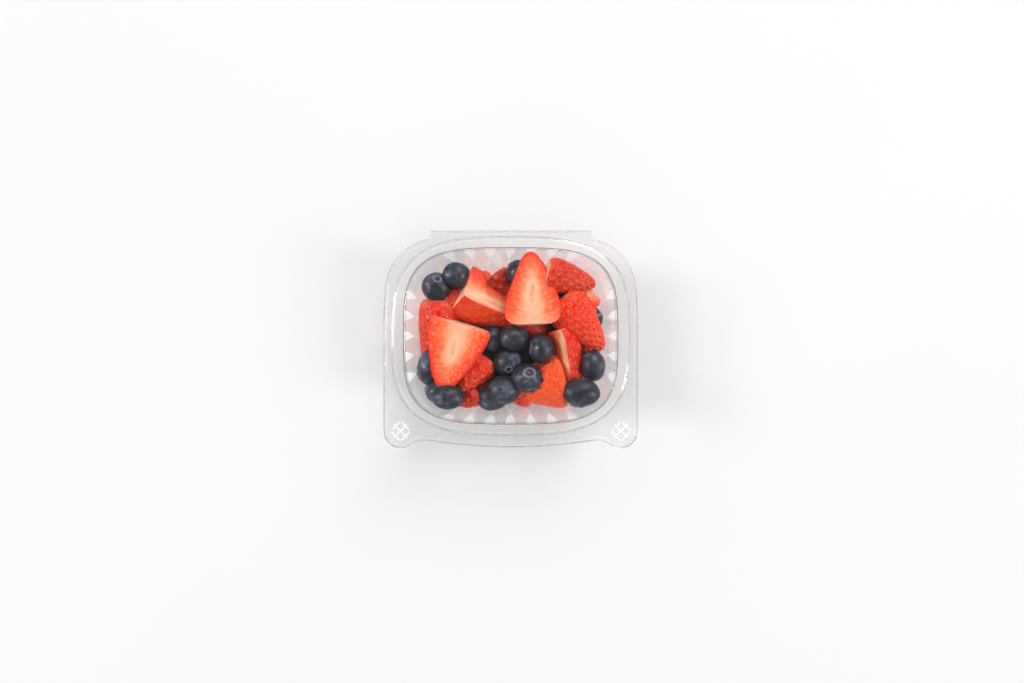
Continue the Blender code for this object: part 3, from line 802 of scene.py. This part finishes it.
def shaded_heap_material():
    """Dark red mass in the middle of the heap, seen only through gaps: painted shade where the lower fruit
    lies in shadow.
    """
    material, nodes = new_material("heap middle")
    spots = nodes.noise(nodes.place(), 120.0, 3.0)
    # Painted shade: near black to dark red, the colour of shadowed fruit deep in the heap.
    colour = nodes.ramp(spots, (0.4, srgb(22, 4, 6)), (0.6, srgb(84, 10, 10)))
    nodes.opaque({"Base Color": colour, "Roughness": film(nodes, 150, 0.3, 0.55)})
    return material


# ---------------------------------------------------------------- fruit shapes


def cavity(z):
    """Half sizes of the free space in the tray at some heights, for arrays."""
    wall = [(0.0, RIM_Z), TRIANGLE_TIP, RIDGE_END, CELL_TIP, *HEEL, (FOOT[0][0], 0.0)]
    insets, levels = zip(*reversed(wall))
    shrink = np.interp(z, levels, insets) + SHEET + HEAP_CLEARANCE
    return MOUTH[0] - shrink, MOUTH[1] - shrink


def keep_inside(points, extra=0.0):
    """Moves points that would reach the wall, the floor or the lid, as soft fruit flattens there."""
    points[:, 2] = np.clip(points[:, 2], FOOT[-1][1] + SHEET + HEAP_CLEARANCE + extra, HEAP_TOP)
    half_x, half_y = cavity(points[:, 2])
    y = points[:, 1] - MIDDLE_Y
    power = MOUTH[2]
    reach = (np.abs(points[:, 0]) / (half_x - extra)) ** power + (np.abs(y) / (half_y - extra)) ** power
    scale = np.minimum(1.0, np.maximum(reach, 1e-9) ** (-1 / power))
    points[:, 0] *= scale
    points[:, 1] = MIDDLE_Y + y * scale
    return points


def settle(points, seed):
    """Moves a whole piece away from the wall, then flattens what still reaches it.

    Each piece stops at one of five depths, so that no two flattened sides lie in one plane.
    """
    extra = (seed % 5) * 0.05 * MM
    for _ in range(8):
        moved = keep_inside(points.copy(), extra) - points
        points = points + moved[np.argmax((moved**2).sum(axis=1))] * 0.8
    return keep_inside(points, extra)


def place_of(x, y, z):
    """Point of the heap, from millimetres about the middle of the mouth."""
    return Vector((x * MM, y * MM + MIDDLE_Y, z * MM))


def points_of(mesh, field="co"):
    """Coordinates or normals of the vertices as an array."""
    found = np.empty(len(mesh.vertices) * 3)
    mesh.vertices.foreach_get(field, found)
    return found.reshape(-1, 3)


def set_points(mesh, points):
    mesh.vertices.foreach_set("co", points.astype(np.float32).ravel())
    mesh.update()


def store(mesh, name, values):
    """Vertex attribute from an array of numbers or vectors."""
    kind, field = ("FLOAT_VECTOR", "vector") if values.ndim == 2 else ("FLOAT", "value")
    attribute = mesh.attributes.get(name) or mesh.attributes.new(name, kind, "POINT")
    attribute.data.foreach_set(field, values.astype(np.float32).ravel())


def tree_of(points):
    """Search tree of some points."""
    tree = KDTree(len(points))
    for i, point in enumerate(points):
        tree.insert(point, i)
    tree.balance()
    return tree


def fraction(value, whole):
    """Share of a whole, kept between 0 and 1."""
    return np.clip(value / whole, 0, 1)


def hill(value, width):
    """Smooth bump that is 1 where the value is 0."""
    return np.exp(-((value / width) ** 2))


def uneven(points, size, amount, seed):
    """Slow bumps over a surface, as an array of factors near one."""
    shift = Vector((seed * 7.3, seed * 3.1, seed * 1.7))
    return np.array([1 + amount * noise.noise(Vector(p) / size + shift) for p in points])


def berry_seats(around, length, stem_cut, is_cut):
    """Places of the seeds on a unit sphere, spread evenly, with none on the cut faces."""
    count = int(around * length * BERRY_SURFACE / (SEED_AREA * SEED_SPACING**2))
    i = np.arange(count)
    z = 1 - 2 * (i + 0.5) / count
    angle = i * GOLDEN_ANGLE
    radius = np.sqrt(1 - z**2)
    seats = np.stack([radius * np.cos(angle), radius * np.sin(angle), z], axis=1)
    seats = seats[seats[:, 2] > 2 * stem_cut - 0.94]
    return seats[seats[:, 0] < CUT_AT] if is_cut else seats


def berry_form(points, width, depth, length, seed, stem_cut):
    """Unit sphere to the form of a strawberry: flat where the stem was cut off, narrow at the tip."""
    height = (points[:, 2] + 1) / 2
    taper = 0.46 + 1.32 * np.exp(-height / 0.4)
    bumps = uneven(points, 0.9, 0.08, seed)
    soft = 0.012
    cut = stem_cut + soft * np.logaddexp(0, (height - stem_cut) / soft)
    x = points[:, 0] * taper * depth / 2 * bumps
    y = points[:, 1] * taper * width / 2 * bumps
    z = ((cut - stem_cut) / (1 - stem_cut) - 0.5) * length
    return np.stack([x, y, z], axis=1) * MM


def store_berry_values(mesh, sphere, away, end_only, tone, core, seed):
    """Stores what the skin and the flesh are coloured by."""
    across, along = sphere[:, 1] - core, sphere[:, 2]
    heart = np.hypot(across, np.where(along < 0, 0.35 * along, 0.8 * along))
    same = np.ones(len(sphere))
    values = {
        "seed_distance": fraction(away, 3.0),
        "tone": same * tone,
        "heart": np.where(end_only, 0.9 * np.hypot(sphere[:, 0], across), heart),
        "rim": np.hypot(sphere[:, 1], np.where(along < 0, 0.6 * along, along)),
        "grain": np.stack([along - 0.3 * np.abs(across), 0.4 * across, same * seed * 3.7], axis=1),
        "berry_place": sphere + seed,
    }
    for name, value in values.items():
        store(mesh, name, value)


def berry_relief(sphere, normals, away, on_face, on_end, stem_cut):
    """Which way and how far each point sinks round the seeds, for dimples of unit depth."""
    hollow = hill(away, DIMPLE_RADIUS) - 0.3 * hill(away - 2 * DIMPLE_RADIUS, 0.6)
    hollow *= fraction((sphere[:, 2] + 1) / 2 - stem_cut, 0.06)
    # The edge of a cut face follows the dimples of the skin beside it.
    inner = np.hypot(sphere[:, 1], sphere[:, 2])
    inward = -np.stack([0 * inner, sphere[:, 1], sphere[:, 2]], axis=1) / np.maximum(inner, 0.1)[:, None]
    edge = fraction(inner - FACE_EDGE, 1 - FACE_EDGE)
    pull = np.where(on_face[:, None], inward * edge[:, None], -normals)
    pull[on_end] = 0
    return pull * hollow[:, None]


def face_height(sphere, depth, core):
    """Height of a cut face in millimetres: slightly domed, with a groove along the core."""
    inner = np.hypot(sphere[:, 1], sphere[:, 2])
    groove = hill(sphere[:, 1] - core, 0.1) * hill(sphere[:, 2] + 0.1, 0.4)
    return CUT_AT * depth / 2 + 0.6 * (1 - inner**4) - 0.5 * groove


def strawberry(
    seed, materials, dimple, stem, tip, width, depth, cut, fineness, tone, core, stem_cut=STEM_CUT
):
    """One strawberry, whole or halved, and the places of its seeds as matrices."""
    stem, tip = place_of(*stem), place_of(*tip)
    length = (tip - stem).length / MM
    deselect()
    bpy.ops.mesh.primitive_ico_sphere_add(subdivisions=fineness, radius=1)
    berry = bpy.context.object
    for material in materials:
        berry.data.materials.append(material)
    if cut:
        # The half that is cut away becomes the flat face, so that the face stays finely divided.
        edit_all("VERT")
        bpy.ops.mesh.bisect(plane_co=(CUT_AT, 0, 0), plane_no=(1, 0, 0))
        bpy.ops.object.mode_set(mode="OBJECT")
    sphere = points_of(berry.data)
    form = berry_form(sphere, width, depth, length, seed, stem_cut)
    seats = berry_seats(math.pi * (width + depth) / 2, length, stem_cut, bool(cut))
    seed_points = berry_form(seats, width, depth, length, seed, stem_cut)
    tree = tree_of(seed_points)
    away = np.array([tree.find(point)[2] for point in form]) / MM
    on_face = sphere[:, 0] > CUT_AT - 0.001 if cut else np.zeros(len(form), bool)
    on_end = (sphere[:, 2] + 1) / 2 < stem_cut + 0.005
    store_berry_values(berry.data, sphere, away, on_end & ~on_face, tone, core, seed)
    set_points(berry.data, form)
    normals = points_of(berry.data, "normal")
    shaped = form + berry_relief(sphere, normals, away, on_face, on_end, stem_cut) * dimple
    if cut:
        shaped[:, 0] = np.where(on_face, face_height(sphere, depth, core) * MM, shaped[:, 0])
    axis = (tip - stem).normalized()
    facing = Vector(cut) if cut else Vector((0, 0, 1))
    facing = (facing - facing.dot(axis) * axis).normalized()
    rotation = np.array(Matrix((facing, axis.cross(facing), axis)).transposed())
    world = settle(shaped @ rotation.T + np.array((stem + tip) / 2), seed)
    set_points(berry.data, world)
    flesh = on_face | on_end
    for polygon in berry.data.polygons:
        polygon.material_index = int(all(flesh[v] for v in polygon.vertices))
    bpy.ops.object.shade_smooth_by_angle(angle=math.radians(50))
    normals, surface = points_of(berry.data, "normal"), tree_of(form)
    seeds = []
    for point in seed_points:
        _, i, _ = surface.find(point)
        up = Vector(normals[i])
        ahead = (axis - axis.dot(up) * up).normalized()
        seat = Matrix((ahead.cross(up), ahead, up)).transposed().to_4x4()
        seeds.append(Matrix.Translation(Vector(world[i]) + up * SEED_RISE) @ seat)
    return berry, seeds


def blueberry(seed, x, y, z, long_x, long_y, height, crown, segments=48):
    """One blueberry with its crown of five short lobes."""
    deselect()
    bpy.ops.mesh.primitive_uv_sphere_add(segments=segments, ring_count=segments * 5 // 6, radius=1)
    berry = bpy.context.object
    points = points_of(berry.data)
    # Rings gather at the crown, where the detail is.
    tilt = (np.arccos(np.clip(points[:, 2], -1, 1)) / math.pi) ** 1.35
    around = np.arctan2(points[:, 1], points[:, 0])
    ring = np.sin(tilt * math.pi)
    points = np.stack([ring * np.cos(around), ring * np.sin(around), np.cos(tilt * math.pi)], axis=1)
    size = CROWN_SIZES[seed * 2 % 5]
    star = np.abs(np.cos(2.5 * around + seed)) ** 0.6
    share = tilt / size
    rim = 0.09 * star * hill(share - 1, 0.28)
    bowl = -0.07 * np.exp(-((share / 0.8) ** 4))
    points *= ((1 + rim + bowl) * uneven(points, 1.1, 0.06, seed))[:, None]
    store(berry.data, "crown", fraction(share, 2))
    turn = np.array(Vector((0, 0, 1)).rotation_difference(Vector(crown).normalized()).to_matrix())
    spin = np.array(Matrix.Rotation(seed * 1.3, 3, "Z"))
    world = (points @ spin.T @ turn.T) * np.array([long_x, long_y, height]) / 2 * MM
    set_points(berry.data, settle(world + np.array(place_of(x, y, z)), seed))
    bpy.ops.object.shade_smooth()
    return berry


def lower_pieces():
    """Fruit against the wall below the top layer: blueberries and whole strawberries as plain values."""
    chance = random.Random(3)
    blueberries, strawberries = [], []
    for inset, z, count in LOWER_RINGS:
        for i in range(count):
            phi = math.tau * (i + 0.35 * chance.random()) / count
            spot = on_oval(grown(MOUTH, -inset * MM), phi) / MM
            size = chance.uniform(*LOWER_SIZE)
            if i % 3 == 0:
                height = z + chance.uniform(-1, 1)
                crown = [chance.uniform(-1, 1) for _ in range(3)]
                blueberries.append((spot.x, spot.y, height, size, size, size * 0.86, crown))
                continue
            lean = Vector((-spot.y, spot.x)).normalized() * size * 0.75
            ends = [(spot.x + s * lean.x, spot.y + s * lean.y, z + s * 2) for s in (-1, 1)]
            strawberries.append((*ends, size * 1.15, size, None, 5, chance.random() * 0.6, 0.0))
    return blueberries, strawberries


def joined(name, things):
    """One object from several."""
    choose(*things)
    bpy.ops.object.join()
    whole = bpy.context.object
    whole.name = name
    return whole


def copies(name, template, seats):
    """One object from copies of a small closed shape, one at each matrix."""
    things = []
    for seat in seats:
        thing = template.copy()
        thing.data = template.data.copy()
        thing.data.transform(seat)
        bpy.context.scene.collection.objects.link(thing)
        things.append(thing)
    bpy.data.objects.remove(template)
    whole = joined(name, things)
    bpy.ops.object.shade_smooth()
    return whole


# ---------------------------------------------------------------- tools


class DELI_OT_tray(bpy.types.Operator):
    """Tray with a foot, a faceted wall, a raised land round its mouth and a flange"""

    bl_idname = "deli.tray"
    bl_label = "Tray"

    def execute(self, context):
        plastic = context.scene.deli_plastic
        every = columns()
        top, tip, low = ([column[i] for column in every] for i in range(3))
        kinds = [column[3] for column in every]
        edge, rim = flange_outline(0.0, 0.0), grown(MOUTH, plastic.thickness)
        rings = [
            (edge, edge_heights(edge, FLANGE_Z, EDGE_DROP)),
            (flange_outline(EDGE_WIDTH, EDGE_WIDTH, EDGE_WIDTH), FLANGE_Z),
            *oval_rings([(grown(LAND, STEP_LEAN), FLANGE_Z), *chamfered(LAND, LAND_Z, -1)], top),
            *oval_rings([*chamfered(rim, LAND_Z, 1), (MOUTH, RIM_Z)], top),
            *inset_rings((TRIANGLE_TIP, RIDGE_END), tip),
            *inset_rings((CELL_TIP, *HEEL, *FOOT), low),
        ]
        tray, found = extruded_rings("container_tray", rings)
        triangle_row, ridge_row, cell_row = found[8:11]
        # The wall below and the wall between two cells' tips become one face with five corners.
        sides = [{v for v, kind in zip(cell_row, kinds) if kind == side} for side in ("left", "right")]
        select_only(tray, "edges", lambda e: all(sum(v.index in s for v in e.verts) == 1 for s in sides))
        bpy.ops.mesh.dissolve_edges(use_verts=False)
        # The points inside each cell go, so that it is one face with seven or eight corners.
        tips = [i for i, kind in enumerate(kinds) if kind == "tip"]
        inside = {row[i] for row in (triangle_row, ridge_row) for i in tips}
        select_only(tray, "verts", lambda v: v.index in inside)
        bpy.ops.mesh.dissolve_verts()
        bpy.ops.mesh.select_all(action="SELECT")
        bpy.ops.mesh.remove_doubles(threshold=0.01 * MM)
        face_up(tray)
        for name, *values in TRAY_PLASTICS:
            tray.data.materials.append(clear_plastic(name, plastic.tint, *values))
        give_material(tray, CLEAR_STEP, lambda f: RIM_Z < middle_z(f) < LAND_Z - 0.05 * MM)
        give_material(tray, GLOSSY_WALL, lambda f: HEEL[-1][1] < middle_z(f) < RIM_Z - 1 * MM)
        # The triangles under the mouth become near white: painted highlight on clear facets.
        give_material(tray, PAINTED_HIGHLIGHT_WALL, lambda f: len(f.verts) == 3 and middle_z(f) > TRIANGLE_TIP[1])
        for corners, share in (((7, 8), 1.0), ((5,), LOWER_DEPTH)):
            select_only(tray, "faces", lambda f: len(f.verts) in corners and middle_z(f) > FACETS_FROM)
            depth = -plastic.cell_depth * share
            bpy.ops.mesh.inset(thickness=plastic.cell_border, depth=depth, use_individual=True)
            mesh = bmesh.from_edit_mesh(tray.data)
            for face in [face for face in mesh.faces if face.select]:
                for border in {border for edge in face.edges for border in edge.link_faces}:
                    border.material_index = GLOSSY_WALL if border == face else CELL_BORDER
        round_ring(tray, STEP_BEND, grown(LAND, STEP_LEAN), FLANGE_Z)
        finish_sheet(tray, plastic.thickness)
        dress(tray, "base", "tray")
        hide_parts("tray")
        return {"FINISHED"}


class DELI_OT_lid(bpy.types.Operator):
    """Lid with a flange, a channel over the tray's land and a low raised panel"""

    bl_idname = "deli.lid"
    bl_label = "Lid"

    def execute(self, context):
        plastic = context.scene.deli_plastic
        top = [column[0] for column in columns()]
        low, high = FLANGE_Z + LID_LIFT, LAND_Z + LID_LIFT
        inset = LID_SIDE_INSET + EDGE_WIDTH, LID_FRONT_INSET + EDGE_WIDTH, EDGE_WIDTH
        edge = flange_outline(LID_SIDE_INSET, LID_FRONT_INSET)
        step, rim = grown(LAND, LID_GAP), grown(MOUTH, plastic.thickness)
        foot, panel = (grown(step, STEP_LEAN), low), (grown(rim, -PANEL_LEAN), PANEL_Z)
        channel = [foot, *chamfered(step, high, -1), chamfered(rim, high, 1)[0], (rim, high), panel]
        rings = [(edge, edge_heights(edge, low, EDGE_DROP / 2)), (flange_outline(*inset), low)]
        rings += oval_rings(channel, top)
        lid, _ = extruded_rings("container_lid", rings)
        face_up(lid)
        round_ring(lid, STEP_BEND, *foot)
        round_ring(lid, PANEL_BEND, *panel)
        finish_sheet(lid, plastic.thickness)
        lid.data.materials.append(clear_plastic("clear lid plastic", plastic.tint))
        lid.data.materials.append(clear_plastic("clear window plastic", plastic.tint, milk=0.0))
        for polygon in lid.data.polygons:
            polygon.material_index = int(polygon.center.z > high + WINDOW_RISE)
        dress(lid, "lid", "lid")
        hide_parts("lid")
        return {"FINISHED"}


class DELI_OT_hinge(bpy.types.Operator):
    """Living hinge: the thin fold that joins the tray's leaf and the lid's"""

    bl_idname = "deli.hinge"
    bl_label = "Living hinge"

    def execute(self, context):
        plastic = context.scene.deli_plastic
        thick = plastic.thickness * FOLD_THICKNESS
        low, high = FLANGE_Z - thick, FLANGE_Z + LID_LIFT + plastic.thickness
        deselect()
        bpy.ops.mesh.primitive_plane_add(size=1)
        web = bpy.context.object
        web.name = "hinge_fold"
        edit_all("VERT")
        # The first face stands across the tray's leaf and is as wide as the hinge.
        bpy.ops.transform.rotate(value=math.pi / 2, orient_axis="X", center_override=(0, 0, 0))
        bpy.ops.transform.resize(value=(2 * LEAF_HALF, 1, thick), center_override=(0, 0, 0))
        bpy.ops.transform.translate(value=(0, HINGE.y - FOLD_REACH, low + thick / 2))
        for x in (-NOTCH / 2, 0.0, NOTCH / 2):
            bpy.ops.mesh.select_all(action="SELECT")
            bpy.ops.mesh.bisect(plane_co=(x, 0, 0), plane_no=(1, 0, 0))
        bpy.ops.mesh.select_all(action="SELECT")
        bpy.ops.mesh.extrude_region_move(TRANSFORM_OT_translate={"value": (0, FOLD_REACH, 0)})
        middle = Vector((0, HINGE.y, (low + high + thick) / 2))
        bpy.ops.mesh.spin(steps=FOLD_STEPS, angle=math.pi, center=middle, axis=(1, 0, 0))
        bpy.ops.mesh.extrude_region_move(TRANSFORM_OT_translate={"value": (0, -FOLD_REACH, 0)})
        select_only(web, "verts", lambda v: abs(v.co.x) < NOTCH / 4 and v.co.y < HINGE.y - FOLD_REACH / 2)
        bpy.ops.transform.translate(value=(0, NOTCH_DEPTH, 0))
        bpy.ops.mesh.select_all(action="SELECT")
        bpy.ops.mesh.remove_doubles(threshold=0.001 * MM)
        bpy.ops.mesh.normals_make_consistent(inside=False)
        bpy.ops.object.mode_set(mode="OBJECT")
        round_sharp(web, *FOLD_EDGE)
        bpy.ops.object.shade_smooth_by_angle(angle=math.radians(40))
        web.data.materials.append(clear_plastic("clear hinge plastic", plastic.tint, 0.05, 0.15, milk=0.3))
        web.data.name = web.name
        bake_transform(web)
        return {"FINISHED"}


class DELI_OT_grips(bpy.types.Operator):
    """Short raised ribs on the two tabs, for the fingers"""

    bl_idname = "deli.grips"
    bl_label = "Grip ribs"

    def execute(self, context):
        top = FLANGE_Z + LID_LIFT + context.scene.deli_plastic.thickness
        ribs = []
        for side, (step, length), lean in product((-1, 1), GRIP_ROWS, (1, -1)):
            deselect()
            bpy.ops.mesh.primitive_cube_add(size=1)
            rib = bpy.context.object
            rib.scale = (GRIP_WIDTH, length, GRIP_HEIGHT)
            shift = Vector((lean, 1)).normalized() * step
            rib.location = (side * TAB.x + shift.x, TAB.y + MIDDLE_Y + shift.y, top)
            rib.rotation_euler.z = lean * math.radians(45)
            bpy.ops.object.transform_apply(location=True, rotation=True, scale=True)
            modify(rib, "BEVEL", width=0.25 * MM, segments=3)
            ribs.append(rib)
        grips = joined("grip_ribs", ribs)
        bpy.ops.object.shade_smooth_by_angle(angle=math.radians(50))
        # Opaque near-white ribs: painted highlight on ribs of clear plastic.
        material, nodes = new_material("frosted grip plastic")
        nodes.opaque({"Base Color": (0.98, 0.98, 0.98, 1), "Roughness": film(nodes, 300, 0.3, 0.5)})
        dress(grips, "lid", "lid", material)
        return {"FINISHED"}


class DELI_OT_strawberries(bpy.types.Operator):
    """Cut and whole strawberries with their seeds"""

    bl_idname = "deli.strawberries"
    bl_label = "Strawberries"

    def execute(self, context):
        fruit = context.scene.deli_fruit
        skin, flesh = strawberry_skin(fruit), strawberry_flesh(fruit)
        groups = {"strawberries_cut": [], "strawberries_whole": [], "strawberries_lower": []}
        seats = []
        for i, values in enumerate(STRAWBERRIES + lower_pieces()[1]):
            berry, seeds = strawberry(i, (skin, flesh), fruit.dimple, *values)
            kind = "lower" if i >= len(STRAWBERRIES) else "cut" if values[4] else "whole"
            groups[f"strawberries_{kind}"].append(berry)
            seats += seeds
        for name, berries in groups.items():
            dress(joined(name, berries), "base", "fruit")
        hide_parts("fruit")
        deselect()
        bpy.ops.mesh.primitive_uv_sphere_add(segments=6, ring_count=4, radius=1)
        template = bpy.context.object
        points = points_of(template.data)
        points[:, 0] *= 1 - 0.35 * points[:, 1]
        set_points(template.data, points * np.array(SEED_HALF) * MM)
        dress(copies("strawberry_seeds", template, seats), "base", "fruit", seed_material(fruit))
        return {"FINISHED"}


class DELI_OT_blueberries(bpy.types.Operator):
    """Blueberries with their crowns"""

    bl_idname = "deli.blueberries"
    bl_label = "Blueberries"

    def execute(self, context):
        berries = [blueberry(i, *values) for i, values in enumerate(BLUEBERRIES)]
        berries += [blueberry(50 + i, *values, segments=30) for i, values in enumerate(lower_pieces()[0])]
        skin = blueberry_skin(context.scene.deli_fruit)
        dress(joined("blueberries", berries), "base", "fruit", skin)
        return {"FINISHED"}


class DELI_OT_middle(bpy.types.Operator):
    """Dark red mass between the pieces: painted shade in the gaps of the heap"""

    bl_idname = "deli.middle"
    bl_label = "Middle of the heap"

    def execute(self, context):
        deselect()
        bpy.ops.mesh.primitive_ico_sphere_add(subdivisions=6, radius=1)
        mass = bpy.context.object
        mass.name = "heap_middle"
        points = points_of(mass.data)
        bumps = uneven(points, 0.16, 0.05, 4)
        squared = np.sign(points) * np.abs(points) ** MASS_POWER * np.array(MASS_HALF) * MM
        placed = squared * bumps[:, None] + np.array([0, MIDDLE_Y, MASS_Z])
        set_points(mass.data, keep_inside(placed, MASS_GAP))
        bpy.ops.object.shade_smooth()
        dress(mass, "base", "fruit", shaded_heap_material())
        return {"FINISHED"}


class DELI_OT_stage(bpy.types.Operator):
    """Pale table, soft light and the camera straight above"""

    bl_idname = "deli.stage"
    bl_label = "Table, light and camera"

    def execute(self, context):
        scene, stage = context.scene, context.scene.deli_stage
        deselect()
        bpy.ops.mesh.primitive_plane_add(size=4)
        table = bpy.context.object
        table.name = "table"
        material, nodes = new_material("pale table")
        shade = tuple(0.985 * value for value in stage.table)
        colour = nodes.ramp(nodes.noise(nodes.place(), 3.0), (0.4, tuple(stage.table)), (0.6, shade))
        nodes.opaque({
            "Base Color": colour, "Roughness": film(nodes, 20, 0.55, 0.65), "Specular IOR Level": 0.2
        })
        table.data.materials.append(material)
        world = scene.world = bpy.data.worlds.new("even light")
        world.use_nodes = True
        nodes = Nodes(world.node_tree)
        axes = nodes.add("ShaderNodeSeparateXYZ", {0: nodes.add("ShaderNodeTexCoord").outputs["Generated"]})
        background = world.node_tree.nodes["Background"]
        # The room is dim straight above, where the camera hangs, and bright round it.
        sky = nodes.ramp(axes.outputs[2], (0.0, 1.0), (0.75, 1.0), (0.92, 0.16))
        world.node_tree.links.new(sky, background.inputs["Color"])
        background.inputs["Strength"].default_value = stage.sky
        for name, place, size, share in LAMPS:
            light = bpy.data.lights.new(name, "AREA")
            light.energy, light.size = stage.light * share, size
            lamp = bpy.data.objects.new(name, light)
            lamp.location = place
            lamp.rotation_euler = (LAMP_TARGET - lamp.location).to_track_quat("-Z", "Y").to_euler()
            scene.collection.objects.link(lamp)
        eye = bpy.data.cameras.new("camera")
        eye.lens = 50
        scene.camera = bpy.data.objects.new("camera", eye)
        scene.camera.location = (EYE.x, MIDDLE_Y + EYE.y, FLANGE_Z + stage.camera_height)
        scene.collection.objects.link(scene.camera)
        scene.view_settings.view_transform = "Standard"
        return {"FINISHED"}


TOOLS = (
    DELI_OT_tray, DELI_OT_lid, DELI_OT_hinge, DELI_OT_grips, DELI_OT_strawberries, DELI_OT_blueberries,
    DELI_OT_middle, DELI_OT_stage,
)


class DELI_PT_panel(bpy.types.Panel):
    """Tools and settings of the container"""

    bl_idname = "DELI_PT_panel"
    bl_label = "Deli container"
    bl_space_type = "VIEW_3D"
    bl_region_type = "UI"
    bl_category = "Deli"

    def draw(self, context):
        for name, kind in SETTINGS.items():
            box = self.layout.box()
            for setting in kind.__annotations__:
                box.prop(getattr(context.scene, name), setting)
        for tool in TOOLS:
            self.layout.operator(tool.bl_idname)


SETTINGS = {"deli_plastic": PlasticSettings, "deli_fruit": FruitSettings, "deli_stage": StageSettings}


def register():
    for kind in (*SETTINGS.values(), *TOOLS, DELI_PT_panel):
        bpy.utils.register_class(kind)
    for name, kind in SETTINGS.items():
        setattr(bpy.types.Scene, name, PointerProperty(type=kind))


def unregister():
    for name in SETTINGS:
        delattr(bpy.types.Scene, name)
    for kind in (DELI_PT_panel, *reversed(TOOLS), *reversed(list(SETTINGS.values()))):
        bpy.utils.unregister_class(kind)


def main():
    register()
    for tool in TOOLS:
        group, name = tool.bl_idname.split(".")
        getattr(getattr(bpy.ops, group), name)()


if __name__ == "__main__":
    main()
